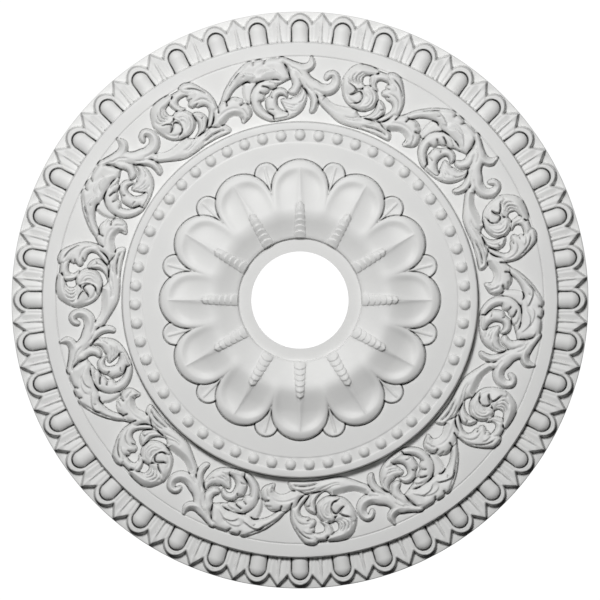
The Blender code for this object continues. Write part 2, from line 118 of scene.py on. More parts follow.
SMALL_PETAL = (
    (100.0, 45.4), (105.0, 44.6), (110.0, 43.2), (115.0, 41.2), (120.0, 39.0), (125.0, 37.4), (130.0, 36.2),
    (137.0, 35.3), (147.0, 35.0),
)
SMALL_PETAL_DISH = 1.6
SMALL_PETAL_DISH_SHARE = 0.85
SMALL_RIB_HALF_WIDTH = 1.6
SMALL_RIB_RISE = 1.2
SMALL_RIB_FADE = 3.0
TONGUE_END = 102.2
TONGUE_HALF_WIDTHS = (6.4, 4.3)
TONGUE_RISE = 2.9
TONGUE_CURVE = 0.7
TONGUE_BAND_PITCH = 6.0
TONGUE_BANDS = 6
TONGUE_BAND_STEP = 1.4
TONGUE_BAND_BOW = 2.2

# Beads.
BEADS = 55
BEAD_CIRCLE = 171.3
BEAD_RADIUS = 5.5
BEAD_FLATNESS = 0.8

# Egg-and-dart row, with distances across it counted from its inner edge.
EGGS = 40
EGG_HALF_WIDTH = 9.3
EGG_CAP = 9.6
EGG_STRAIGHT = 13.2
EGG_RISE = 7.0
EGG_CURVE = 2.4
EGG_GAP = 0.5
EGG_HOLLOW = 4.0
HOLLOW_BANK_RUN = 0.9
SHELL_HALF_WIDTH = 11.6
SHELL_CAP = 13.6
SHELL_WALL_RUN = 2.4
SHELL_LINE, SHELL_LINE_IN, SHELL_LINE_WIDTH = 0.5, 1.0, 0.45
VALLEY, VALLEY_OUT, VALLEY_WIDTH = 0.9, 1.6, 0.5
DART_HALF_WIDTH = 8.0
DART_TIP = 27.4
DART_SHOULDER = 17.4
DART_RISE = 0.4
DART_DISH, DART_DISH_WIDTH = 0.7, 6.5
DART_RIB = 1.5
DART_RIB_LEAST = 0.2
DART_RIB_RISE = 1.3
DART_RIB_END = DART_TIP - 5
DART_RIB_TOP = DART_TIP - 4
DART_RIB_FADE = 6.0
DART_LINE, DART_LINE_OUT, DART_LINE_WIDTH = 1.0, 0.7, 0.6

SCROLLS = 7


def smooth_line(points, steps=8, closed=False):
    """A smooth curve through the points, with steps places from each point to the next."""
    points = np.array(points, float)
    if closed:
        padded = np.vstack([points[-1], points, points[:2]])
    else:
        padded = np.vstack([2 * points[0] - points[1], points, 2 * points[-1] - points[-2]])
    runs = []
    for before, start, end, after in zip(padded, padded[1:], padded[2:], padded[3:]):
        for t in np.arange(steps) / steps:
            linear = end - before
            square = 2 * before - 5 * start + 4 * end - after
            cube = 3 * start - 3 * end + after - before
            runs.append(start + 0.5 * (linear * t + square * t**2 + cube * t**3))
    return np.array(runs + [runs[0] if closed else padded[-2]])


def ease(t):
    """A smooth step from 0 to 1."""
    t = np.clip(t, 0, 1)
    return t * t * (3 - 2 * t)


def crown(t):
    """A quarter round: 0 and steep at t = 0, 1 and level from t = 1."""
    return np.sqrt(1 - (1 - np.clip(t, 0, 1)) ** 2)


def bell(t):
    """1 at t = 0, falling away evenly on both sides: the cross-section of a thin groove."""
    return np.exp(-(t**2))


def profile(radius, stops):
    """Smooth height through the stops."""
    radii, heights = np.array(stops).T
    slopes = np.gradient(heights, radii)
    index = np.clip(np.searchsorted(radii, radius) - 1, 0, len(radii) - 2)
    span = radii[index + 1] - radii[index]
    t = np.clip((radius - radii[index]) / span, 0, 1)
    start, end = heights[index], heights[index + 1]
    return (
        (2 * t**3 - 3 * t**2 + 1) * start
        + (t**3 - 2 * t**2 + t) * span * slopes[index]
        + (3 * t**2 - 2 * t**3) * end
        + (t**3 - t**2) * span * slopes[index + 1]
    )


def from_middle(turn, count):
    """Angle from the middle of the nearest of count copies."""
    pitch = math.tau / count
    return (turn + pitch / 2) % pitch - pitch / 2


def tongue_half_width(radius):
    width = np.interp(radius, (CENTRE_RING, TONGUE_END), TONGUE_HALF_WIDTHS)
    return width * crown((TONGUE_END - radius) / TONGUE_HALF_WIDTHS[1])


def tongue_rise(radius, side):
    """The tongue on a petal's middle: caps that lie one over the other, the innermost on top."""
    share = np.clip(side / np.maximum(tongue_half_width(radius), TINY), 0, 1)
    along = (TONGUE_END - radius - TONGUE_BAND_BOW * share**2) / TONGUE_BAND_PITCH
    cap = np.where(along < TONGUE_BANDS, along % 1, 1)
    rise = TONGUE_RISE * crown(1 - share) ** TONGUE_CURVE - TONGUE_BAND_STEP * cap
    return np.where((share < 1) & (radius < TONGUE_END), np.clip(rise, 0, None), 0)


def outline_groove(inside):
    """The thin groove that runs round a petal at its foot."""
    return PETAL_GROOVE * bell((inside + PETAL_GROOVE_OUT) / PETAL_GROOVE_WIDTH)


def small_petal_depth(radius, turn):
    """Small petals behind the gaps between the big ones."""
    off = np.abs(from_middle(turn + math.pi / PETALS, PETALS))
    up = np.clip(radius - SMALL_PETAL_ROUND, 0, None) / (SMALL_PETAL_TIP - SMALL_PETAL_ROUND)
    share = np.hypot(off / SMALL_PETAL_HALF_ANGLE, up)
    inside = (1 - share) * SMALL_PETAL_HALF_ANGLE * radius
    dish = SMALL_PETAL_DISH * np.clip(1 - (share / SMALL_PETAL_DISH_SHARE) ** 2, 0, 1)
    rib = SMALL_RIB_RISE * crown(1 - off * radius / SMALL_RIB_HALF_WIDTH)
    rib = rib * ease((SMALL_PETAL_TIP - SMALL_RIB_FADE - radius) / SMALL_RIB_FADE)
    top = profile(radius, SMALL_PETAL) - dish + rib - COVE_DEPTH
    return COVE_DEPTH + top * crown(inside / PETAL_WALL_RUN) - outline_groove(inside)


def rosette_depth(radius, turn):
    """Big petals, hollowed on both sides of a midrib and rolled at the lip, over the small ones."""
    off = np.abs(from_middle(turn, PETALS))
    half_angle = math.pi / PETALS
    up = np.clip(radius - PETAL_PART, 0, None) / (PETAL_TIP - PETAL_PART)
    share = np.hypot(off / half_angle, up)
    side = off * radius
    inside = (1 - share) * half_angle * radius
    at_tip = (up / np.maximum(share, TINY)) ** 2
    lip = LIP_SIDE_WIDTH + (LIP_TIP_WIDTH - LIP_SIDE_WIDTH) * at_tip
    lip = lip * ease((radius - LIP_START) / LIP_FADE)
    across = off / half_angle
    from_lip = np.clip(inside - lip, 0, None)
    hollow = 4 * across * (1 - across) * (1 - bell(from_lip / HOLLOW_FROM_LIP))
    roll = LIP_SLOPE * lip * np.clip(1 - inside / np.maximum(lip, TINY), 0, 1) ** LIP_CURVE
    rib_width = np.interp(radius, *np.array(MIDRIB).T)
    rib = MIDRIB_RISE * crown(1 - side / rib_width) * ease((radius - MIDRIB_START) / MIDRIB_START_FADE)
    rib = rib * ease((MIDRIB_END - radius) / MIDRIB_END_FADE)
    foot = TONGUE_FOOT_RISE * np.exp(-side / TONGUE_FOOT)
    foot = foot * ease((TONGUE_FOOT_END - radius) / TONGUE_FOOT_FADE)
    petal = profile(radius, PETAL_CREST) - profile(radius, HOLLOW) * hollow - roll + rib + foot
    petal = petal + tongue_rise(radius, side)
    behind = small_petal_depth(radius, turn)
    edge = np.where(radius <= PETAL_PART, 1, ease(inside / PETAL_WALL_RUN))
    groove = outline_groove(inside) * ease((radius - PETAL_PART) / PETAL_GROOVE_FADE)
    surface = behind + (petal - behind) * edge - groove
    return CENTRE_RING_DEPTH + (surface - CENTRE_RING_DEPTH) * ease((radius - CENTRE_RING) / WALL_RUN)


def bead_depth(radius, turn):
    off = from_middle(turn, BEADS) * BEAD_CIRCLE
    square = off**2 + (radius - BEAD_CIRCLE) ** 2
    return BEAD_SEAT_DEPTH + BEAD_FLATNESS * np.sqrt(np.clip(BEAD_RADIUS**2 - square, 0, None))


def turned_depth(radius):
    """The turned form between the carved rows."""
    stops = (
        (HOLE, CENTRE_RING_DEPTH), (CENTRE_RING, CENTRE_RING_DEPTH), (PETAL_TIP, COVE_DEPTH),
        (BEAD_SEAT_STEP[0], COVE_DEPTH), (BEAD_SEAT_STEP[1], BEAD_SEAT_DEPTH),
        (BEAD_SEAT_END, BEAD_SEAT_DEPTH), (FILLET_START, FILLET_DEPTH), (FILLET_END, FILLET_DEPTH),
        (FRIEZE_START, FRIEZE_DEPTH), (BAND_END, FRIEZE_DEPTH), (EGG_ROW_START, RIM_DEPTH), (RIM, RIM_DEPTH),
    )
    radii, depths = zip(*stops)
    groove = BORDER_GROOVE_DEPTH * np.clip(1 - ((radius - BORDER) / WALL_RUN) ** 2, 0, 1)
    return np.interp(radius, radii, depths) - groove


def arch_distance(side, out, half_width, cap):
    above = np.clip(out - EGG_STRAIGHT, 0, None)
    return (np.hypot(side / half_width, above / cap) - 1) * half_width


def dart_distance(side, out):
    taper = DART_HALF_WIDTH * (DART_TIP - out) / (DART_TIP - DART_SHOULDER)
    lean = math.hypot(DART_HALF_WIDTH, DART_TIP - DART_SHOULDER) / (DART_TIP - DART_SHOULDER)
    return (side - taper) / lean


def egg_row_depth(radius, turn):
    """Eggs in their hollows, shells round them and darts between them."""
    side = from_middle(turn, EGGS) * radius
    dart_side = np.abs(from_middle(turn + math.pi / EGGS, EGGS)) * radius
    out = radius - EGG_ROW_START
    from_egg = arch_distance(side, out, EGG_HALF_WIDTH, EGG_CAP)
    from_shell = arch_distance(side, out, SHELL_HALF_WIDTH, SHELL_CAP)
    from_dart = dart_distance(dart_side, out)
    rise = EGG_ROW_DEPTH - RIM_DEPTH
    shell = rise * crown(1 - from_shell / SHELL_WALL_RUN)
    shell = shell - SHELL_LINE * bell((from_shell + SHELL_LINE_IN) / SHELL_LINE_WIDTH)
    dish = DART_DISH * np.sin(np.pi * np.clip(dart_side / DART_DISH_WIDTH, 0, 1))
    rib_width = DART_RIB * np.clip((DART_RIB_END - out) / DART_RIB_END, 0, 1) + DART_RIB_LEAST
    rib = DART_RIB_RISE * np.exp(-((dart_side / rib_width) ** 4)) * ease((DART_RIB_TOP - out) / DART_RIB_FADE)
    beside = bell((dart_side - rib_width - DART_LINE_OUT) / DART_LINE_WIDTH)
    groove = DART_LINE * beside * ease((DART_RIB_END - out) / DART_RIB_FADE)
    dart = (rise + DART_RISE - dish + rib - groove) * crown(1 - from_dart / SHELL_WALL_RUN)
    valley = VALLEY * bell((from_shell - VALLEY_OUT) / VALLEY_WIDTH) * (from_dart < 0)
    row = RIM_DEPTH + np.maximum(shell, dart - valley)
    hollow = EGG_ROW_DEPTH - EGG_HOLLOW
    share = np.clip(1 + (from_egg + EGG_GAP) / EGG_HALF_WIDTH, 0, 1)
    egg = hollow + EGG_RISE * np.sqrt(1 - share**EGG_CURVE)
    bank = hollow + (row - hollow) * crown(from_egg / HOLLOW_BANK_RUN)
    return np.where(from_egg <= -EGG_GAP, egg, np.where(from_egg <= 0, hollow, bank))


# Frieze of scrolling leaves. One repeat is drawn with points in degrees along it and radius in
# millimetres. Leaves come from the lowest to the uppermost, each with the height of its edge above the
# ground, the swell of its middle, how far in that swell is full, and whether it lies over what is
# there or grows out of it.
SCROLL_DEGREES = 360 / SCROLLS
LEAVES = (
    ("flange", 2.1, 1.6, 4.0, False, (
        (36.9, 232.0), (36.2, 226.0), (36.0, 219.0), (36.2, 213.0), (37.0, 210.5), (38.4, 215.0),
        (38.8, 222.0), (40.0, 229.0), (39.0, 232.5),
    )),
    ("volute", 3.7, 3.2, 6.0, True, (
        (46.8, 228.4), (45.6, 230.0), (44.0, 231.0), (42.4, 231.0), (41.0, 229.8), (39.9, 227.5),
        (38.9, 224.0), (38.2, 220.0), (37.75, 215.5), (37.6, 210.0), (37.75, 204.0), (38.2, 199.5),
        (38.9, 196.0), (39.8, 193.0), (40.8, 190.5), (42.0, 188.5), (43.4, 188.2), (44.4, 190.5),
        (43.3, 193.2), (42.2, 195.3), (41.4, 197.6), (40.7, 200.6), (40.25, 203.8), (40.0, 207.0),
        (40.1, 209.9), (41.0, 211.0), (41.4, 213.0), (41.5, 215.5), (41.9, 217.3), (42.7, 218.3),
        (43.1, 220.0), (43.3, 221.7), (44.3, 221.3), (45.0, 222.3), (45.3, 224.6), (46.1, 225.6),
        (46.8, 226.8),
    )),
    ("bowl", 3.7, 3.2, 7.0, False, (
        (47.6, 195.4), (47.2, 198.5), (46.7, 202.5), (46.3, 206.0), (46.2, 208.8), (47.4, 209.4),
        (48.9, 208.8), (49.3, 210.3), (50.2, 210.9), (51.1, 212.4), (51.8, 215.5), (52.2, 220.0),
        (52.9, 217.0), (53.3, 213.0), (53.2, 208.0), (52.8, 202.5), (52.0, 197.2), (50.8, 193.3),
        (49.2, 190.6), (47.2, 188.8), (45.0, 188.0), (43.4, 188.2), (43.3, 192.0), (44.5, 195.0),
    )),
    ("volute eye", 4.0, 3.2, 5.0, True, (
        (43.7, 217.4), (44.1, 219.3), (44.8, 220.5), (45.6, 220.9), (46.5, 220.6), (47.3, 219.0),
        (47.8, 216.5), (48.0, 213.5), (47.9, 211.4), (47.3, 212.5), (46.7, 213.7), (46.0, 214.2),
        (45.3, 213.2), (44.9, 211.0), (44.7, 207.5), (44.7, 204.0), (45.0, 201.0), (45.6, 198.5),
        (46.4, 196.7), (47.6, 195.0), (47.5, 191.5), (45.5, 190.0), (43.4, 190.5), (43.2, 193.6),
        (42.4, 196.4), (41.8, 199.4), (41.6, 203.0), (41.7, 208.5), (42.0, 211.8), (43.0, 213.6),
        (43.4, 215.6),
    )),
    ("inner leaf", 3.8, 2.8, 5.0, False, (
        (48.9, 231.4), (49.4, 228.5), (49.6, 224.0), (49.3, 220.6), (48.6, 218.2), (48.4, 216.0),
        (48.8, 214.2), (49.7, 213.5), (50.6, 214.6), (51.1, 217.4), (51.6, 221.0), (52.3, 226.0),
        (52.0, 233.0), (50.5, 239.0), (48.9, 239.0),
    )),
    ("trunk", 4.0, 2.8, 6.0, False, (
        (46.6, 252.4), (47.6, 252.2), (50.0, 247.3), (51.6, 245.2), (53.2, 240.5), (53.4, 236.5),
        (54.4, 231.0), (56.5, 226.6), (58.2, 220.0), (58.0, 213.6), (57.4, 209.5), (56.9, 206.6),
        (56.2, 213.0), (54.9, 215.5), (53.9, 217.2), (53.2, 218.4), (52.4, 221.0), (51.6, 227.0),
        (50.6, 233.0), (49.4, 236.0), (48.8, 239.0), (48.2, 243.5), (47.4, 246.0), (46.7, 247.5),
    )),
    ("spur", 3.0, 3.6, 4.0, False, (
        (53.0, 220.5), (53.6, 215.5), (54.25, 211.5), (54.65, 208.0), (54.8, 204.5), (54.7, 200.5),
        (54.45, 197.0), (54.6, 195.0), (55.3, 194.8), (56.0, 196.3), (56.45, 199.5), (56.65, 203.0),
        (56.7, 206.5), (56.6, 209.5), (56.2, 213.0), (55.4, 217.5), (54.3, 222.0),
    )),
    ("stem", 3.5, 3.2, 7.0, False, (
        (5.6, 214.5), (6.6, 213.6), (7.5, 211.2), (8.6, 208.2), (10.2, 205.8), (12.4, 205.3),
        (14.6, 205.8), (16.3, 206.6), (16.8, 203.4), (17.5, 201.2), (18.3, 199.8), (19.6, 200.4),
        (21.0, 200.4), (22.4, 200.0), (23.4, 201.3), (24.4, 201.6), (25.6, 200.2), (26.8, 198.8),
        (28.0, 197.9), (28.8, 195.2), (29.3, 191.5), (29.0, 189.4), (27.0, 189.0), (24.0, 189.4),
        (20.0, 189.0), (17.0, 188.2), (14.0, 188.5), (12.0, 190.0), (10.0, 193.8), (8.5, 197.5),
        (7.0, 201.5), (5.7, 205.4), (5.0, 210.5),
    )),
    ("tendril", 3.5, 4.0, 7.0, False, (
        (1.7, 236.6), (2.1, 234.0), (3.1, 230.8), (4.6, 227.4), (6.0, 225.2), (7.0, 224.9),
        (7.8, 226.0), (8.35, 228.6), (8.5, 231.4), (8.0, 234.2), (7.45, 232.0), (6.95, 230.2),
        (6.5, 230.6), (6.35, 233.2), (6.6, 236.6), (7.2, 239.0), (8.2, 240.3), (9.2, 239.3),
        (9.9, 236.2), (10.35, 231.8), (10.5, 227.5), (10.3, 223.4), (9.8, 219.8), (9.0, 216.8),
        (8.1, 215.0), (7.1, 214.2), (5.6, 214.4), (3.5, 219.0), (1.5, 226.0), (0.6, 233.0),
    )),
    ("hook", 3.7, 4.2, 6.0, False, (
        (-4.4, 252.8), (-2.0, 248.6), (0.0, 245.2), (1.2, 245.0), (2.0, 246.6), (2.45, 250.0),
        (2.75, 253.8), (3.25, 250.8), (3.65, 246.8), (3.6, 243.4), (3.2, 240.4), (2.6, 238.4),
        (1.75, 236.6), (0.6, 236.0), (-0.6, 237.2), (-1.5, 239.5), (-3.0, 243.5), (-4.6, 249.0),
    )),
    ("frond", 3.8, 3.0, 6.0, False, (
        (29.2, 218.6), (30.0, 222.2), (31.1, 228.0), (32.3, 233.0), (33.4, 237.0), (34.5, 241.0),
        (35.5, 244.0), (37.0, 248.2), (38.4, 251.6), (39.3, 252.8), (39.95, 252.0), (40.2, 250.4),
        (40.9, 252.4), (42.0, 252.9), (42.7, 251.4), (42.9, 250.0), (43.8, 251.8), (45.6, 252.2),
        (46.5, 251.6), (47.2, 253.0), (48.0, 251.2), (47.6, 247.5), (47.9, 242.0), (48.2, 238.5),
        (48.8, 231.0), (48.0, 229.0), (46.9, 227.4), (45.5, 230.2), (43.5, 231.0), (41.0, 230.8),
        (39.6, 230.5), (38.6, 231.4), (37.8, 233.3), (36.4, 232.4), (35.0, 230.6), (33.6, 227.6),
        (32.4, 223.8), (31.3, 219.8),
    )),
    ("fan", 3.8, 3.4, 6.0, True, (
        (24.3, 202.3), (25.3, 205.0), (26.0, 208.2), (26.4, 211.5), (26.75, 214.6), (27.3, 216.3),
        (28.2, 217.0), (28.7, 217.6), (29.3, 219.4), (30.1, 220.3), (30.9, 220.0), (31.5, 219.9),
        (32.2, 220.9), (33.2, 221.0), (34.1, 219.8), (34.8, 218.2), (35.35, 217.0), (35.4, 214.8),
        (35.3, 212.6), (35.9, 211.0), (36.5, 209.2), (36.9, 206.0), (37.0, 202.5), (36.8, 199.6),
        (36.3, 197.2), (35.5, 195.4), (34.6, 194.0), (33.8, 192.8), (33.5, 194.6), (33.65, 198.6),
        (33.2, 201.2), (32.2, 203.2), (31.2, 203.8), (30.1, 203.0), (29.0, 200.8), (28.0, 199.0),
        (26.4, 198.4), (25.2, 200.5),
    )),
    ("calyx", 3.7, 3.4, 4.5, True, (
        (21.35, 222.2), (22.1, 222.7), (23.0, 221.0), (23.7, 218.4), (24.2, 214.6), (24.2, 211.0),
        (23.8, 208.2), (23.2, 205.4), (22.2, 202.6), (20.8, 201.2), (18.4, 199.9), (19.6, 201.8),
        (20.5, 204.2), (21.2, 207.6), (21.65, 212.0), (21.5, 217.0),
    )),
    ("cap leaf", 4.0, 2.8, 5.0, False, (
        (24.6, 252.4), (25.6, 247.2), (26.4, 242.0), (27.2, 236.8), (27.8, 231.0), (28.05, 225.6),
        (28.1, 220.4), (28.0, 216.8), (26.9, 214.5), (26.2, 210.0), (25.4, 206.0), (24.4, 203.0),
        (23.3, 203.5), (24.0, 207.6), (24.9, 211.2), (25.6, 214.8), (25.95, 218.4), (25.85, 222.4),
        (25.2, 225.4), (24.2, 226.5), (23.4, 226.8), (23.1, 228.6), (22.2, 228.9), (21.75, 231.0),
        (21.8, 233.6), (22.3, 236.0), (22.1, 239.4), (22.6, 242.0), (22.1, 243.4), (21.0, 243.8),
        (20.0, 243.0), (19.4, 240.4), (19.35, 237.0), (19.8, 233.8), (20.4, 231.4), (18.8, 231.6),
        (18.4, 234.6), (17.95, 237.5), (17.75, 241.0), (17.6, 244.6), (18.3, 247.6), (19.2, 248.6),
        (19.4, 250.8), (21.4, 251.3), (21.7, 253.6), (22.8, 254.9), (23.9, 253.9),
    )),
    ("shell", 3.8, 3.4, 8.0, True, (
        (16.6, 206.6), (15.2, 207.8), (14.0, 209.4), (13.0, 212.0), (12.3, 215.5), (11.7, 220.0),
        (11.3, 225.0), (11.1, 230.0), (11.2, 235.0), (11.5, 239.0), (12.0, 243.0), (12.6, 247.0),
        (13.4, 250.3), (14.5, 252.6), (16.2, 253.4), (18.2, 252.8), (19.2, 251.0), (18.9, 248.3),
        (18.1, 246.4), (17.2, 244.7), (16.3, 243.2), (15.85, 240.5), (15.8, 236.5), (16.2, 233.4),
        (17.0, 231.5), (18.0, 228.0), (18.3, 220.0), (18.0, 212.0), (17.4, 207.2),
    )),
    ("curl", 4.8, 4.2, 9.0, True, (
        (16.7, 229.0), (16.9, 231.5), (17.5, 233.1), (18.3, 233.7), (19.1, 232.8), (19.9, 230.7),
        (20.6, 227.7), (21.1, 224.4), (21.3, 220.5), (21.2, 216.5), (20.8, 213.0), (20.1, 210.4),
        (19.2, 208.3), (18.2, 206.9), (17.0, 206.4), (15.6, 207.5), (14.4, 209.0), (14.6, 210.6),
        (15.6, 211.6), (16.4, 213.0), (17.0, 215.6), (17.3, 219.0), (17.4, 223.0), (17.1, 226.0),
    )),
)

# Soft edges, where a leaf slopes away to its outline: height at the outline, height at the end of the
# slope, its width and the points.
SLOPES = {
    "flange": ((0.4, 4.2, 3.5, ((36.9, 232.5), (36.2, 226.0), (36.0, 219.0), (36.2, 213.0), (37.0, 210.0))),),
    "volute": ((2.6, 7.8, 3.5, (
        (46.0, 229.6), (44.0, 231.0), (42.4, 231.0), (41.0, 229.8), (39.9, 227.5), (38.9, 224.0),
        (38.2, 220.0),
    )),),
    "bowl": ((2.0, 7.8, 4.5, (
        (53.3, 213.0), (53.2, 208.0), (52.8, 202.5), (52.0, 197.2), (50.8, 193.3), (49.2, 190.6),
    )),),
    "spur": ((1.4, 7.4, 4.0, ((56.7, 207.0), (56.6, 203.0), (56.3, 199.0), (55.6, 195.2), (54.6, 195.0))),),
    "stem": (
        (0.0, 7.6, 8.5, (
            (6.6, 213.6), (7.5, 211.2), (8.6, 208.2), (10.2, 205.8), (12.4, 205.3), (14.6, 205.8),
            (17.2, 207.0),
        )),
        (0.4, 6.6, 4.0, ((26.8, 198.8), (28.0, 197.9), (28.8, 195.2), (29.3, 191.5), (29.0, 188.6))),
    ),
    "tendril": (
        (1.6, 8.4, 8.0, (
            (1.0, 239.0), (1.7, 236.0), (3.1, 230.8), (4.6, 227.4), (6.0, 225.2), (7.0, 224.9),
            (7.8, 226.0), (8.35, 228.6), (8.5, 231.4), (8.0, 234.2), (7.6, 236.0),
        )),
        (1.6, 8.0, 3.6, (
            (10.6, 226.0), (10.3, 223.4), (9.8, 219.8), (9.0, 216.8), (8.1, 215.0), (7.1, 214.2),
            (5.6, 214.0),
        )),
    ),
    "hook": (
        (1.6, 8.8, 8.0, (
            (-5.2, 254.6), (-2.0, 248.6), (0.0, 245.2), (1.2, 245.0), (2.0, 246.6), (2.45, 250.0),
            (2.75, 254.8),
        )),
        (1.4, 8.0, 3.6, (
            (2.9, 253.4), (3.65, 246.8), (3.6, 243.4), (3.2, 240.4), (2.6, 238.4), (1.6, 236.2),
        )),
    ),
    "frond": ((1.6, 7.6, 4.5, (
        (35.0, 242.4), (37.0, 248.2), (38.4, 251.6), (39.3, 252.8), (42.0, 252.9), (45.6, 252.4),
        (47.4, 253.2), (48.6, 251.0),
    )),),
    "fan": (
        (0.2, 7.0, 6.0, (
            (25.6, 197.2), (28.0, 199.0), (29.0, 200.8), (30.1, 203.0), (31.2, 203.8), (32.2, 203.2),
            (33.2, 201.2), (33.7, 197.8),
        )),
        (1.6, 8.2, 4.0, (
            (31.4, 219.8), (32.2, 220.9), (33.2, 221.0), (34.1, 219.8), (34.8, 218.2), (35.4, 216.6),
            (35.4, 214.0),
        )),
        (1.8, 8.0, 4.0, (
            (36.2, 210.4), (36.9, 206.0), (37.0, 202.5), (36.8, 199.6), (36.3, 197.2), (35.5, 195.4),
            (34.2, 193.2),
        )),
    ),
    "calyx": ((2.0, 8.0, 3.5, (
        (21.6, 222.6), (23.0, 221.0), (23.7, 218.4), (24.2, 214.6), (24.2, 211.0), (23.6, 206.8),
    )),),
    "shell": (
        (1.8, 8.2, 9.0, (
            (11.1, 231.0), (11.5, 239.0), (12.0, 243.0), (12.6, 247.0), (13.4, 250.3), (14.5, 252.6),
            (16.2, 253.4), (18.2, 253.0), (20.0, 252.0),
        )),
        (2.0, 8.2, 4.5, (
            (11.3, 236.0), (11.1, 230.0), (11.3, 225.0), (11.7, 220.0), (12.3, 215.5), (13.0, 212.0),
            (14.6, 208.4),
        )),
    ),
    "curl": ((2.2, 10.2, 6.5, (
        (16.9, 230.0), (17.5, 233.1), (18.3, 233.7), (19.1, 232.8), (19.9, 230.7), (20.6, 227.7),
        (21.1, 224.4), (21.3, 220.5), (21.2, 216.5), (20.8, 213.0), (20.1, 210.4), (19.2, 208.3),
        (17.6, 206.2),
    )),),
}

# Lines where one lobe lies over another: height of the step, how far it fades, and points. The
# side to the left of the line, seen as it is drawn, is the raised one.
FOLDS = (
    (1.8, 4.0, ((14.0, 220.6), (14.9, 225.0), (14.6, 227.4), (14.0, 229.0), (13.0, 230.6), (12.0, 233.4))),
    (2.4, 4.0, (
        (40.0, 234.6), (39.9, 237.6), (39.0, 239.5), (38.0, 241.3), (37.0, 242.3), (36.0, 241.9),
        (35.3, 239.4), (34.4, 235.0),
    )),
    (1.2, 3.5, (
        (47.0, 229.6), (46.7, 233.5), (46.0, 236.5), (45.3, 239.0), (44.5, 241.5), (43.5, 243.3),
        (42.4, 244.2), (41.2, 243.6), (40.5, 241.2), (40.0, 237.0),
    )),
    (1.8, 3.0, ((45.4, 239.0), (44.6, 240.2), (43.7, 240.4), (42.8, 239.8), (42.0, 238.0), (41.2, 234.6))),
    (1.8, 3.5, ((48.6, 233.0), (48.3, 238.0), (48.1, 241.4), (47.8, 244.2), (47.2, 246.2), (46.0, 247.6))),
    (1.4, 3.0, ((24.9, 239.0), (24.4, 241.8), (23.6, 243.0), (22.6, 243.4), (21.4, 243.8))),
)

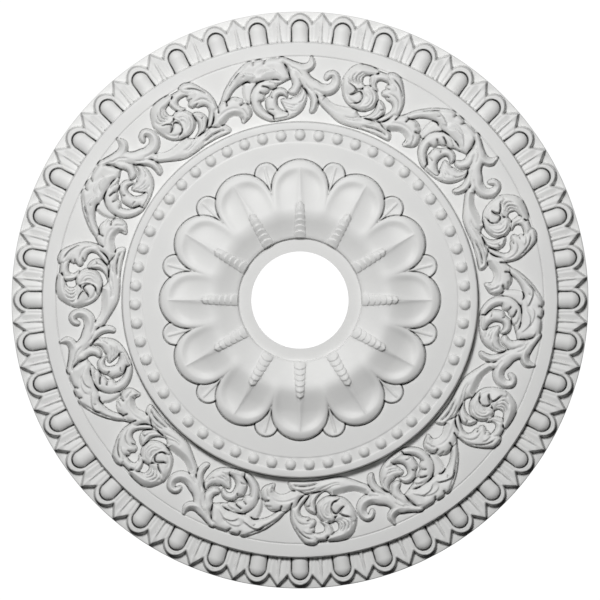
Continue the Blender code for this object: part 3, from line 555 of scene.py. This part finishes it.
# Creases: depth, half width and points.
CREASES = (
    (3.4, 1.0, (
        (12.2, 233.4), (13.0, 230.7), (14.0, 229.0), (14.7, 227.2), (15.0, 225.4), (14.6, 223.0),
        (14.0, 220.6),
    )),
    (4.6, 1.3, (
        (12.9, 219.4), (13.8, 219.8), (14.6, 221.2), (15.3, 223.6), (15.9, 225.4), (16.5, 224.6),
        (17.0, 221.6), (17.2, 217.0),
    )),
    (3.4, 1.1, ((14.7, 224.8), (15.6, 227.0), (16.3, 228.2), (16.8, 230.4))),
    (2.2, 1.2, (
        (16.2, 246.4), (15.3, 244.4), (14.5, 240.6), (14.3, 237.0), (14.7, 234.2), (15.4, 232.2),
        (16.4, 231.0),
    )),
    (2.0, 1.2, ((14.6, 245.6), (13.7, 242.0), (13.3, 238.0), (13.6, 234.8), (14.4, 232.2), (15.8, 230.2))),
    (2.0, 1.1, ((16.8, 245.8), (15.9, 243.6), (15.2, 240.4), (15.1, 236.8), (15.6, 234.0), (16.4, 232.4))),
    (1.6, 1.2, ((13.0, 240.6), (12.4, 237.0), (12.7, 234.0), (13.6, 231.8), (15.0, 229.2))),
    (1.2, 1.4, ((12.6, 225.6), (12.9, 219.6), (13.8, 214.8), (15.4, 212.6), (16.8, 213.0))),
    (1.6, 1.0, ((15.0, 213.4), (16.0, 212.6), (16.7, 214.0), (17.1, 217.4))),
    (1.6, 1.2, (
        (17.3, 229.2), (18.5, 229.9), (19.5, 227.4), (20.1, 222.0), (20.0, 216.6), (19.2, 212.0),
        (17.6, 209.4),
    )),
    (1.3, 1.2, ((17.5, 226.8), (18.5, 226.4), (19.2, 223.2), (19.3, 218.6), (18.7, 214.6), (17.4, 211.6))),
    (0.9, 1.1, ((17.6, 224.2), (18.2, 222.8), (18.5, 219.4), (18.0, 215.6))),
    (2.4, 0.9, (
        (22.2, 250.0), (23.2, 248.6), (24.2, 246.8), (25.1, 244.2), (25.8, 241.2), (26.4, 238.4),
        (27.0, 234.8), (27.6, 230.0),
    )),
    (1.4, 1.0, (
        (22.6, 232.4), (24.0, 233.3), (25.1, 233.1), (26.1, 231.0), (26.8, 227.4), (27.2, 223.4),
        (27.3, 218.4),
    )),
    (1.4, 1.0, ((21.5, 251.6), (21.8, 248.4), (22.6, 245.4))),
    (1.2, 1.2, ((18.6, 246.8), (18.7, 242.0), (18.9, 237.0), (19.3, 233.0))),
    (2.0, 0.9, ((21.8, 236.8), (22.6, 237.2), (23.4, 237.8))),
    (2.4, 1.0, ((22.9, 227.6), (23.3, 229.4), (24.2, 229.8))),
    (2.4, 0.9, ((24.4, 215.2), (23.5, 215.2), (22.8, 213.6))),
    (1.4, 1.2, ((22.0, 220.4), (22.7, 215.4), (22.8, 210.4), (22.0, 205.4), (20.6, 202.4))),
    (2.0, 0.8, (
        (31.0, 226.6), (32.4, 231.6), (33.6, 235.2), (34.8, 239.2), (36.2, 243.4), (37.8, 247.8),
        (39.2, 251.0),
    )),
    (2.2, 0.8, ((40.15, 251.4), (40.2, 249.4), (40.0, 247.6))),
    (2.4, 0.9, ((43.0, 251.4), (42.8, 249.2), (42.4, 247.4))),
    (1.4, 0.9, ((37.6, 240.6), (37.2, 239.0), (37.0, 237.2))),
    (2.0, 1.0, ((36.8, 232.4), (38.0, 232.8), (38.6, 230.6))),
    (3.4, 1.1, ((28.5, 218.0), (28.2, 214.6), (27.8, 210.2))),
    (3.4, 1.1, ((31.1, 221.0), (30.95, 217.6), (30.7, 213.8))),
    (2.6, 1.4, ((35.6, 217.6), (34.5, 217.4), (33.3, 217.8))),
    (3.4, 1.2, ((35.8, 212.4), (35.0, 211.6), (34.1, 211.4))),
    (1.0, 1.6, ((26.6, 205.6), (28.4, 208.8), (30.8, 210.8), (33.0, 209.6), (34.6, 204.6))),
    (2.6, 1.0, ((33.8, 192.8), (34.0, 196.4), (34.1, 200.2))),
    (1.6, 1.3, ((36.2, 196.6), (35.6, 200.0), (35.1, 205.4), (34.4, 208.6))),
    (3.4, 1.2, ((40.9, 226.0), (42.0, 224.7), (42.8, 223.3), (43.5, 221.2))),
    (2.8, 1.2, ((40.2, 220.2), (41.0, 218.2), (41.8, 216.2))),
    (2.0, 1.0, ((39.2, 210.2), (40.2, 210.4), (41.2, 211.0))),
    (1.8, 1.1, ((42.8, 229.2), (44.2, 227.8), (45.4, 225.0))),
    (1.8, 1.0, ((41.8, 200.0), (42.9, 200.1), (44.0, 199.0))),
    (2.4, 0.9, ((43.4, 214.6), (43.5, 212.4), (43.9, 211.2))),
    (2.0, 0.9, ((43.5, 194.6), (43.2, 190.8), (43.5, 187.8))),
    (3.0, 1.0, ((52.0, 221.0), (51.8, 216.6), (51.3, 213.6), (50.6, 211.6), (49.6, 210.8), (48.6, 209.0))),
    (1.6, 1.0, ((52.8, 215.4), (52.6, 210.4), (52.0, 206.6), (50.8, 204.4))),
    (1.3, 1.2, ((46.4, 207.2), (47.6, 204.2), (49.2, 202.4), (51.2, 202.8))),
    (1.3, 1.2, ((46.8, 203.8), (48.2, 200.6), (50.2, 199.4))),
    (1.2, 1.2, ((47.4, 199.6), (48.8, 196.8), (50.6, 196.4))),
    (1.2, 1.0, ((50.0, 237.4), (51.0, 232.4), (51.5, 227.4), (51.9, 221.4))),
    (1.3, 1.0, ((49.0, 243.0), (50.6, 239.6), (51.6, 235.4), (52.4, 230.4))),
    (1.3, 0.9, ((13.0, 197.6), (14.4, 195.8), (16.0, 196.4), (17.2, 198.6), (18.2, 200.6))),
    (1.1, 0.9, ((12.8, 195.6), (14.6, 193.9), (16.6, 194.6), (18.6, 196.8), (20.8, 199.4))),
    (3.4, 1.9, ((19.0, 190.4), (21.0, 192.4), (23.5, 193.8), (25.5, 194.0), (27.2, 193.3), (28.4, 191.4))),
    (1.5, 1.0, ((20.4, 194.8), (22.2, 197.6), (24.0, 198.6), (26.0, 197.4))),
    (1.6, 1.0, ((21.4, 200.6), (22.6, 201.0), (24.6, 200.0), (26.2, 198.4))),
    (1.1, 1.0, ((-2.8, 246.0), (-2.1, 241.8), (-1.0, 238.2))),
    (1.0, 1.0, ((-1.6, 236.0), (-0.6, 231.4), (0.2, 226.0), (0.5, 220.0))),
    (1.2, 1.2, ((1.4, 225.0), (2.3, 220.4), (3.6, 215.5))),
    (1.2, 1.1, ((3.4, 220.2), (5.2, 217.2), (7.2, 214.8))),
)

# What all leaves share. A leaf that lies over another clears it by DEEPEST_GAP and has a gap of that
# depth beside it. Folds and creases fade over a share of their length at each end, and where the relief
# is lower than CUT_HEIGHT.
EDGE_RUN = 0.7
FOOT_GROOVE = 0.9
FOOT_GROOVE_WIDTH = 0.6
FOOT_GROOVE_OUT = 0.3
DEEPEST_GROOVE = 1.2
DEEPEST_GAP = 1.6
GAP_WIDTH = 0.9
LEAF_MARGIN = 3.0
LIFT_RUN = 1.2
SWELL_CURVE = 2.2
SOFT_CURVE = 1.6
SOFT_ENDS = 0.1
NO_LIMIT = 10.0
FOLD_ENDS = 0.2
FOLD_STEP_RUN = 0.5
CREASE_ENDS = 0.25
CREASE_GAIN = 1.25
CREASE_SPREAD = 1.35
CREASE_CURVE = 1.2
CUT_HEIGHT = 3.0


def fade_at_ends(along, share):
    """1 along the middle of a line, falling to 0 over a share of its length at each end."""
    return ease(np.minimum(along, 1 - along) / share)


class Frieze:
    """One repeat of the frieze: height above its ground, by radius and by column."""

    def __init__(self, radii, columns):
        self.radii = radii
        self.columns = columns
        self.step = math.radians(SCROLL_DEGREES) / columns
        self.height = np.zeros((len(radii), columns))

    @staticmethod
    def placed(line):
        """A line of the drawing in plan."""
        turn, radius = np.radians(line[:, 0]), line[:, 1]
        return np.column_stack([radius * np.sin(turn), radius * np.cos(turn)])

    def window(self, line, margin):
        """Rows, columns and plan places of the grid near a line, and the line in plan."""
        turn, radius = np.radians(line[:, 0]), line[:, 1]
        rows = np.flatnonzero((self.radii > radius.min() - margin) & (self.radii < radius.max() + margin))
        ends = turn.min() - margin / radius.min(), turn.max() + margin / radius.min()
        columns = np.arange(math.floor(ends[0] / self.step), math.ceil(ends[1] / self.step) + 1)
        around, out = np.meshgrid(columns * self.step, self.radii[rows])
        plan = np.stack([out * np.sin(around), out * np.cos(around)])
        return np.ix_(rows, columns % self.columns), plan, self.placed(line)

    @staticmethod
    def near(plan, line):
        """Distance to a line, share of the way along it, and side: 1 on its left, -1 on its right."""
        distance = np.full(plan[0].shape, np.inf)
        along, side = np.zeros_like(distance), np.ones_like(distance)
        for index, (start, end) in enumerate(zip(line, line[1:])):
            run = end - start
            to_x, to_y = plan[0] - start[0], plan[1] - start[1]
            share = np.clip((to_x * run[0] + to_y * run[1]) / (run @ run + 1e-9), 0, 1)
            away = np.hypot(to_x - share * run[0], to_y - share * run[1])
            closer = away < distance
            distance = np.where(closer, away, distance)
            along = np.where(closer, (index + share) / (len(line) - 1), along)
            side = np.where(closer, np.sign(run[0] * to_y - run[1] * to_x), side)
        return distance, along, side

    @staticmethod
    def inside(plan, line):
        """Whether each place is inside a closed line."""
        found = np.zeros(plan[0].shape, bool)
        for (x, y), (next_x, next_y) in zip(line, line[1:]):
            if y == next_y:
                continue
            crosses = (y > plan[1]) != (next_y > plan[1])
            found ^= crosses & (plan[0] < x + (plan[1] - y) * (next_x - x) / (next_y - y))
        return found

    def slope(self, plan, low, high, width, points):
        """The height that a soft edge allows."""
        distance, along, _ = self.near(plan, self.placed(smooth_line(points, steps=4)))
        past_ends = 1 - fade_at_ends(along, SOFT_ENDS)
        share = np.clip(distance / width, 0, 1)
        limit = low + (high - low) * (1 - (1 - share) ** SOFT_CURVE)
        return limit + NO_LIMIT * past_ends + NO_LIMIT * (share == 1)

    def leaf(self, name, level, swell, reach, over, outline):
        """Adds a leaf, with its soft edges, over or among what is there, and the groove at its foot."""
        cells, plan, line = self.window(smooth_line(outline, steps=5, closed=True), LEAF_MARGIN)
        distance, _, _ = self.near(plan, line)
        inside = self.inside(plan, line)
        distance = np.where(inside, distance, -distance)
        share = np.clip(distance / reach, 0, 1)
        shape = level * crown(distance / EDGE_RUN) + swell * (1 - (1 - share) ** SWELL_CURVE)
        for soft in SLOPES.get(name, ()):
            shape = np.minimum(shape, self.slope(plan, *soft))
        height = self.height[cells]
        if over:
            lifted = height + DEEPEST_GAP * crown(distance / LIFT_RUN)
            gap = DEEPEST_GAP * bell(distance / GAP_WIDTH)
            outside = np.maximum(height - gap, np.minimum(height, 0))
            height = np.where(inside, np.maximum(shape, lifted), outside)
        else:
            height = np.where(inside, np.maximum(height, shape), height)
        foot = FOOT_GROOVE * bell((distance + FOOT_GROOVE_OUT) / FOOT_GROOVE_WIDTH) * (1 - ease(height))
        self.height[cells] = np.where(inside, height, np.maximum(height - foot, -DEEPEST_GROOVE))

    def fold(self, step, fade, points):
        """Raises the left side of a line and lowers its right side."""
        cells, plan, line = self.window(smooth_line(points, steps=6), 3 * fade)
        distance, along, side = self.near(plan, line)
        taper = fade_at_ends(along, FOLD_ENDS)
        change = step * taper * side * np.tanh(distance / FOLD_STEP_RUN) * np.exp(-distance / fade)
        self.height[cells] += change * ease(self.height[cells] / CUT_HEIGHT)

    def crease(self, depth, half_width, points):
        """Cuts a groove of V section along a line."""
        cells, plan, line = self.window(smooth_line(points, steps=6), 4 * half_width)
        distance, along, _ = self.near(plan, line)
        taper = fade_at_ends(along, CREASE_ENDS)
        section = np.clip(1 - distance / (CREASE_SPREAD * half_width), 0, 1) ** CREASE_CURVE
        change = CREASE_GAIN * depth * taper * section
        self.height[cells] -= change * ease(self.height[cells] / CUT_HEIGHT)


def draw_frieze(radii, columns):
    """Height of the frieze above its ground, all the way round."""
    frieze = Frieze(radii, columns)
    for leaf in LEAVES:
        frieze.leaf(*leaf)
    for fold in FOLDS:
        frieze.fold(*fold)
    for crease in CREASES:
        frieze.crease(*crease)
    return np.tile(np.maximum(frieze.height, -DEEPEST_GROOVE), (1, SCROLLS))


# Mesh of the rose. A corner takes the fine face's slope, read CORNER_INSET of the way to the triangle's
# middle, unless that is over 16 degrees off the triangle's own, and then the mean at its point, unless
# that is over 20 degrees off. DOWNWARD and UPRIGHT bound the Z of a triangle's normal.
COLUMNS = 2520
INNER_STEP = 0.6
OUTER_STEP = 0.5
FRIEZE_REACH = 256.4
RIM_ROUND = 0.8
SOFTENING_ROUNDS = 1
TRIANGLES = 190000
CORNER_INSET = 0.2
TRIANGLE_COSINE = math.cos(math.radians(16))
POINT_COSINE = math.cos(math.radians(20))
DOWNWARD = -0.02
UPRIGHT = 0.5
BACK_NEARNESS = 1e-4
NO_LENGTH = 1e-15


def even_radii(stops, step):
    """Radii in even steps no longer than step, with each stop among them."""
    radii = [stops[0]]
    for start, end in zip(stops, stops[1:]):
        radii.extend(np.linspace(start, end, math.ceil((end - start) / step) + 1)[1:])
    return np.array(radii)


def softened(depth):
    """The depths with their sharpest corners rubbed off, as a moulding's are."""
    for _ in range(SOFTENING_ROUNDS):
        depth = (np.roll(depth, 1, axis=1) + 2 * depth + np.roll(depth, -1, axis=1)) / 4
        inner = (depth[:-2] + 2 * depth[1:-1] + depth[2:]) / 4
        depth = np.vstack([depth[:1], inner, depth[-1:]])
    return depth


def inner_face():
    """Radii and depths from the hole to the frieze."""
    stops = (
        HOLE, CENTRE_RING, CENTRE_RING + WALL_RUN, PETAL_PART, ROSETTE_END, *BEAD_SEAT_STEP, BEAD_SEAT_END,
        FILLET_START, FILLET_END, FRIEZE_START,
    )
    radii = even_radii(stops, INNER_STEP)
    radius, turn = np.meshgrid(radii, np.arange(COLUMNS) * math.tau / COLUMNS, indexing="ij")
    beads = bead_depth(radius, turn) * (radius > BEAD_CIRCLE - BEAD_RADIUS)
    depth = np.maximum(turned_depth(radius), beads)
    petals = (radius >= CENTRE_RING) & (radius <= ROSETTE_END)
    depth = np.where(petals, rosette_depth(radius, turn), depth)
    return radii, softened(depth)


def outer_face():
    """Radii and depths from the frieze to the rim."""
    stops = (FRIEZE_START, BORDER, BAND_END, EGG_ROW_START, RIM - RIM_ROUND, RIM)
    radii = even_radii(stops, OUTER_STEP)
    radius, turn = np.meshgrid(radii, np.arange(COLUMNS) * math.tau / COLUMNS, indexing="ij")
    depth = turned_depth(radius)
    carved = radii <= FRIEZE_REACH
    relief = draw_frieze(radii[carved], COLUMNS // SCROLLS)
    depth[carved] += relief * ease((radius[carved] - FRIEZE_START) / WALL_RUN)
    row = egg_row_depth(np.maximum(radius, EGG_ROW_START), turn)
    wall = ease((radius - BAND_END) / (EGG_ROW_START - BAND_END))
    depth = np.where(radius > BAND_END, FRIEZE_DEPTH + (row - FRIEZE_DEPTH) * wall, depth)
    depth = depth - RIM_ROUND * (1 - crown((RIM - radius) / RIM_ROUND))
    return radii, softened(depth)


class Face:
    """The carved face as one polar grid, in metres."""

    def __init__(self):
        inner_radii, inner = inner_face()
        outer_radii, outer = outer_face()
        self.radii = np.concatenate([inner_radii[:-1], outer_radii]) * PLAN_SCALE
        self.depth = np.vstack([inner[:-1], outer]) * DEPTH_SCALE
        closed = np.hstack([self.depth[:, -1:], self.depth, self.depth[:, :1]])
        self.outward = np.gradient(self.depth, self.radii, axis=0)
        self.around = np.gradient(closed, math.tau / COLUMNS, axis=1)[:, 1:-1] / self.radii[:, None]

    def mesh(self):
        """Points and triangles, each square of the grid split along its flatter diagonal."""
        turn = np.arange(COLUMNS) * math.tau / COLUMNS
        x, y = self.radii[:, None] * np.sin(turn), -self.radii[:, None] * np.cos(turn)
        points = np.stack([x, y, -self.depth], axis=-1).reshape(-1, 3)
        ids = np.arange(len(points)).reshape(-1, COLUMNS)
        low, high = ids[:-1].ravel(), ids[1:].ravel()
        low_next, high_next = np.roll(ids[:-1], -1, axis=1).ravel(), np.roll(ids[1:], -1, axis=1).ravel()
        z = points[:, 2]
        rising = (np.abs(z[low] - z[high_next]) < np.abs(z[low_next] - z[high]))[:, None]
        one = np.where(rising, np.stack([low, high, high_next], 1), np.stack([low, high, low_next], 1))
        start = np.where(rising, low[:, None], high[:, None])
        two = np.hstack([start, high_next[:, None], low_next[:, None]])
        return points, np.vstack([one, two])

    def normals(self, places):
        """Unit normals of the carved face at plan places."""
        radius = np.hypot(places[:, 0], places[:, 1])
        turn = np.arctan2(places[:, 0], -places[:, 1]) % math.tau
        row = np.clip(np.searchsorted(self.radii, radius) - 1, 0, len(self.radii) - 2)
        up = np.clip((radius - self.radii[row]) / (self.radii[row + 1] - self.radii[row]), 0, 1)
        column = turn / math.tau * COLUMNS
        left = np.floor(column).astype(int)
        over = column - left
        left, right = left % COLUMNS, (left + 1) % COLUMNS
        slopes = []
        for field in (self.outward, self.around):
            low = field[row, left] * (1 - over) + field[row, right] * over
            high = field[row + 1, left] * (1 - over) + field[row + 1, right] * over
            slopes.append(low * (1 - up) + high * up)
        x = slopes[0] * np.sin(turn) + slopes[1] * np.cos(turn)
        y = -slopes[0] * np.cos(turn) + slopes[1] * np.sin(turn)
        found = np.stack([-x, -y, -np.ones(len(places))], axis=1)
        return found / np.linalg.norm(found, axis=1)[:, None]


def add_object(name, data):
    made = bpy.data.objects.new(name, data)
    bpy.context.scene.collection.objects.link(made)
    return made


def mesh_from(points, faces):
    mesh = bpy.data.meshes.new(NODE)
    mesh.vertices.add(len(points))
    mesh.vertices.foreach_set("co", points.astype(np.float32).ravel())
    mesh.loops.add(faces.size)
    mesh.loops.foreach_set("vertex_index", faces.astype(np.int32).ravel())
    mesh.polygons.add(len(faces))
    mesh.polygons.foreach_set("loop_start", np.arange(0, faces.size, 3, dtype=np.int32))
    mesh.update(calc_edges=True)
    return mesh


def thinned(mesh, triangles):
    """The mesh with fewer triangles where it is flattest."""
    obj = add_object("thinning", mesh)
    modifier = obj.modifiers.new("thin", "DECIMATE")
    modifier.ratio = triangles / len(mesh.polygons)
    bpy.context.view_layer.update()
    evaluated = obj.evaluated_get(bpy.context.evaluated_depsgraph_get())
    found = bpy.data.meshes.new_from_object(evaluated)
    bpy.data.objects.remove(obj)
    bpy.data.meshes.remove(mesh)
    keep_inside(found)
    return found


def keep_inside(mesh):
    """Draws back the points that the thinning moved past the rim."""
    for vertex in mesh.vertices:
        radius = math.hypot(vertex.co.x, vertex.co.y)
        if radius > HIGH[0]:
            vertex.co.x *= HIGH[0] / radius
            vertex.co.y *= HIGH[0] / radius


def close_back(mesh):
    """Adds the rim, the wall of the hole and the flat back."""
    form = bmesh.new()
    form.from_mesh(mesh)
    border = [edge for edge in form.edges if edge.is_boundary]
    walls = bmesh.ops.extrude_edge_only(form, edges=border)["geom"]
    for item in walls:
        if isinstance(item, bmesh.types.BMVert):
            item.co.z = HIGH[2]
    bmesh.ops.triangle_fill(form, use_beauty=True, edges=[edge for edge in form.edges if edge.is_boundary])
    bmesh.ops.triangulate(form, faces=form.faces)
    bmesh.ops.recalc_face_normals(form, faces=form.faces)
    form.to_mesh(mesh)
    form.free()


def read_out(items, name, width, kind=np.float32):
    """A row of width values for each item of a mesh."""
    values = np.empty(len(items) * width, kind)
    items.foreach_get(name, values)
    return values.reshape(-1, width)


def set_normals(mesh, face):
    """Shades each corner with the fine face's own slope, so that the thinning doesn't show."""
    corners = read_out(mesh.loops, "vertex_index", 1, np.int32).reshape(-1, 3)
    points = read_out(mesh.vertices, "co", 3).astype(float)
    flat = read_out(mesh.polygons, "normal", 3)
    area = read_out(mesh.polygons, "area", 1)
    triangle = points[corners]
    inset = triangle * (1 - CORNER_INSET) + triangle.mean(axis=1, keepdims=True) * CORNER_INSET
    carved = (flat[:, 2] < DOWNWARD) & (triangle[:, :, 2].max(axis=1) < HIGH[2] - BACK_NEARNESS)
    normals = np.repeat(flat[:, None], 3, axis=1).astype(float)
    sampled = face.normals(inset[carved].reshape(-1, 3)).reshape(-1, 3, 3)
    level = flat[carved][:, None]
    fits = (sampled * level).sum(axis=2, keepdims=True) > TRIANGLE_COSINE
    normals[carved] = np.where(fits, sampled, level)
    upright = ~carved & (np.abs(flat[:, 2]) < UPRIGHT)
    radial = triangle[upright] * (1, 1, 0)
    radial /= np.linalg.norm(radial, axis=2, keepdims=True)
    outward = (radial * flat[upright][:, None]).sum(axis=2, keepdims=True)
    normals[upright] = radial * np.sign(outward)
    shared = np.zeros_like(points)
    weighted = normals[carved] * area[carved][:, None]
    np.add.at(shared, corners[carved].ravel(), weighted.reshape(-1, 3))
    shared /= np.maximum(np.linalg.norm(shared, axis=1, keepdims=True), NO_LENGTH)
    mean = shared[corners[carved]]
    close = (mean * normals[carved]).sum(axis=2, keepdims=True) > POINT_COSINE
    normals[carved] = np.where(close, mean, normals[carved])
    mesh.shade_smooth()
    mesh.normals_split_custom_set(normals.reshape(-1, 3).tolist())


def build_rose():
    face = Face()
    mesh = thinned(mesh_from(*face.mesh()), TRIANGLES)
    close_back(mesh)
    set_normals(mesh, face)
    return add_object("ceiling_rose_carved", mesh)


# Finish. Painted shade: the paint's colour darkens where too little of the view within a short reach is open,
# as shade falls in tight corners and creases. It starts below the upper open share and holds the darkest tone
# from the lower share down; the reach, the two shares and the tone are set below.
PAINT_COLOUR = (0.80, 0.80, 0.785, 1.0)
PAINT_SHADE_COLOUR = (0.77, 0.77, 0.765, 1.0)
PAINT_ROUGHNESS = (0.50, 0.62)
PAINTED_SHADE_REACH = 0.0022
PAINTED_SHADE_OPEN = (0.45, 0.88)
PAINTED_SHADE_TONE = 0.0


def node(tree, kind, **values):
    """A node with its sockets or settings given by name."""
    made = tree.nodes.new(kind)
    for name, value in values.items():
        socket = name.replace("_", " ")
        if socket in made.inputs:
            made.inputs[socket].default_value = value
        else:
            setattr(made, name, value)
    return made


def primed_paint():
    """Matt factory primer, with faint mottling, a fine stipple and an uneven skin, and painted shade that
    darkens tight corners and creases.
    """
    material = bpy.data.materials.new("primed_white")
    material.use_nodes = True
    tree = material.node_tree
    shader = tree.nodes["Principled BSDF"]
    shader.inputs["Metallic"].default_value = 0.0
    shader.inputs["IOR"].default_value = 1.46
    place = node(tree, "ShaderNodeTexCoord")
    mottle = node(tree, "ShaderNodeTexNoise", Scale=26.0, Detail=4.0, Roughness=0.55)
    stipple = node(tree, "ShaderNodeTexNoise", Scale=900.0, Detail=3.0, Roughness=0.6)
    waves = node(tree, "ShaderNodeTexNoise", Scale=60.0, Detail=2.0, Roughness=0.5)
    colour = node(tree, "ShaderNodeMix", data_type="RGBA")
    colour.inputs["A"].default_value = PAINT_COLOUR
    colour.inputs["B"].default_value = PAINT_SHADE_COLOUR
    rough = node(tree, "ShaderNodeMapRange", To_Min=PAINT_ROUGHNESS[0], To_Max=PAINT_ROUGHNESS[1])
    fine = node(tree, "ShaderNodeBump", Strength=0.10, Distance=0.0002)
    broad = node(tree, "ShaderNodeBump", Strength=0.12, Distance=0.0008)
    link = tree.links.new
    for texture in (mottle, stipple, waves):
        link(place.outputs["Object"], texture.inputs["Vector"])
    link(mottle.outputs["Fac"], colour.inputs["Factor"])
    # Painted shade: ambient occlusion over a short reach darkens the paint's colour in tight corners and
    # creases.
    crease = node(tree, "ShaderNodeAmbientOcclusion", samples=8, Distance=PAINTED_SHADE_REACH)
    depth = node(
        tree, "ShaderNodeMapRange",
        From_Min=PAINTED_SHADE_OPEN[0], From_Max=PAINTED_SHADE_OPEN[1], To_Min=PAINTED_SHADE_TONE, To_Max=1.0,
    )
    # Multiplies the paint's colour by the painted shade.
    painted_shade_mix = node(tree, "ShaderNodeMix", data_type="RGBA", blend_type="MULTIPLY")
    painted_shade_mix.inputs["Factor"].default_value = 1.0
    link(crease.outputs["AO"], depth.inputs["Value"])
    link(colour.outputs["Result"], painted_shade_mix.inputs["A"])
    link(depth.outputs["Result"], painted_shade_mix.inputs["B"])
    link(painted_shade_mix.outputs["Result"], shader.inputs["Base Color"])
    link(mottle.outputs["Fac"], rough.inputs["Value"])
    link(rough.outputs["Result"], shader.inputs["Roughness"])
    link(stipple.outputs["Fac"], fine.inputs["Height"])
    link(waves.outputs["Fac"], broad.inputs["Height"])
    link(broad.outputs["Normal"], fine.inputs["Normal"])
    link(fine.outputs["Normal"], shader.inputs["Normal"])
    return material


# Studio. The camera looks straight up at the face from below, with the far rim at the picture's top.
CAMERA_DISTANCE = 20.0
CAMERA_RANGE = 60.0
VIEW_WIDTH = 0.6242
SENSOR_WIDTH = 36.0
FLOOR_DROP = 22.0
FLOOR_SIZE = 80.0
FLOOR_COLOUR = (0.82, 0.82, 0.81, 1.0)
FLOOR_ROUGHNESS = 0.9
KEY_TURN = math.radians(110)
KEY_TILT = math.radians(27)
KEY_DISTANCE = 2.8
KEY_SIZE = 0.7
KEY_POWER = 68.0
FILL_DISTANCE = 3.4
FILL_SIZE = 1.8
FILL_POWER = 2.5
BACK_PLACE = (0.9, -0.6, 2.4)
BACK_SIZE = 2.0
BACK_POWER = 60.0
WORLD_LIGHT = 0.01
WORLD_WHITE = 1.05


def area_light(name, place, size, power):
    """A round light that shines at the rose's centre."""
    data = bpy.data.lights.new(name, "AREA")
    data.shape = "DISK"
    data.size = size
    data.energy = power
    light = add_object(name, data)
    light.location = place
    light.rotation_mode = "QUATERNION"
    light.rotation_quaternion = (Vector() - Vector(place)).to_track_quat("-Z", "Y")
    light.visible_camera = False


def light_stage():
    tilt = math.sin(KEY_TILT) * KEY_DISTANCE
    key = (tilt * math.cos(KEY_TURN), -tilt * math.sin(KEY_TURN), -math.cos(KEY_TILT) * KEY_DISTANCE)
    area_light("key", key, KEY_SIZE, KEY_POWER)
    area_light("front_fill", (0, 0, -FILL_DISTANCE), FILL_SIZE, FILL_POWER)
    area_light("back_fill", BACK_PLACE, BACK_SIZE, BACK_POWER)
    world = bpy.data.worlds.new("studio")
    bpy.context.scene.world = world
    world.use_nodes = True
    tree = world.node_tree
    background = tree.nodes["Background"]
    background.inputs["Color"].default_value = (1, 1, 1, 1)
    path = node(tree, "ShaderNodeLightPath")
    strength = node(tree, "ShaderNodeMapRange", To_Min=WORLD_LIGHT, To_Max=WORLD_WHITE)
    tree.links.new(path.outputs["Is Camera Ray"], strength.inputs["Value"])
    tree.links.new(strength.outputs["Result"], background.inputs["Strength"])


def lay_floor():
    half = FLOOR_SIZE / 2
    mesh = bpy.data.meshes.new("floor")
    corners = [(-half, -half, 0), (half, -half, 0), (half, half, 0), (-half, half, 0)]
    mesh.from_pydata(corners, [], [(0, 1, 2, 3)])
    floor = add_object("floor", mesh)
    floor.location = (0, 0, -FLOOR_DROP)
    material = bpy.data.materials.new("pale_floor")
    material.use_nodes = True
    shader = material.node_tree.nodes["Principled BSDF"]
    shader.inputs["Base Color"].default_value = FLOOR_COLOUR
    shader.inputs["Roughness"].default_value = FLOOR_ROUGHNESS
    mesh.materials.append(material)


def set_camera():
    data = bpy.data.cameras.new("camera")
    data.sensor_width = SENSOR_WIDTH
    data.lens = SENSOR_WIDTH * CAMERA_DISTANCE / VIEW_WIDTH
    data.clip_end = CAMERA_RANGE
    camera = add_object("camera", data)
    camera.location = (0, 0, -CAMERA_DISTANCE)
    camera.rotation_euler = (math.pi, 0, 0)
    bpy.context.scene.camera = camera


bpy.context.scene.view_settings.view_transform = "Standard"
set_camera()
lay_floor()
light_stage()
rose = build_rose()
rose.data.materials.append(primed_paint())
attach(rose, "root")
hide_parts(NODE)
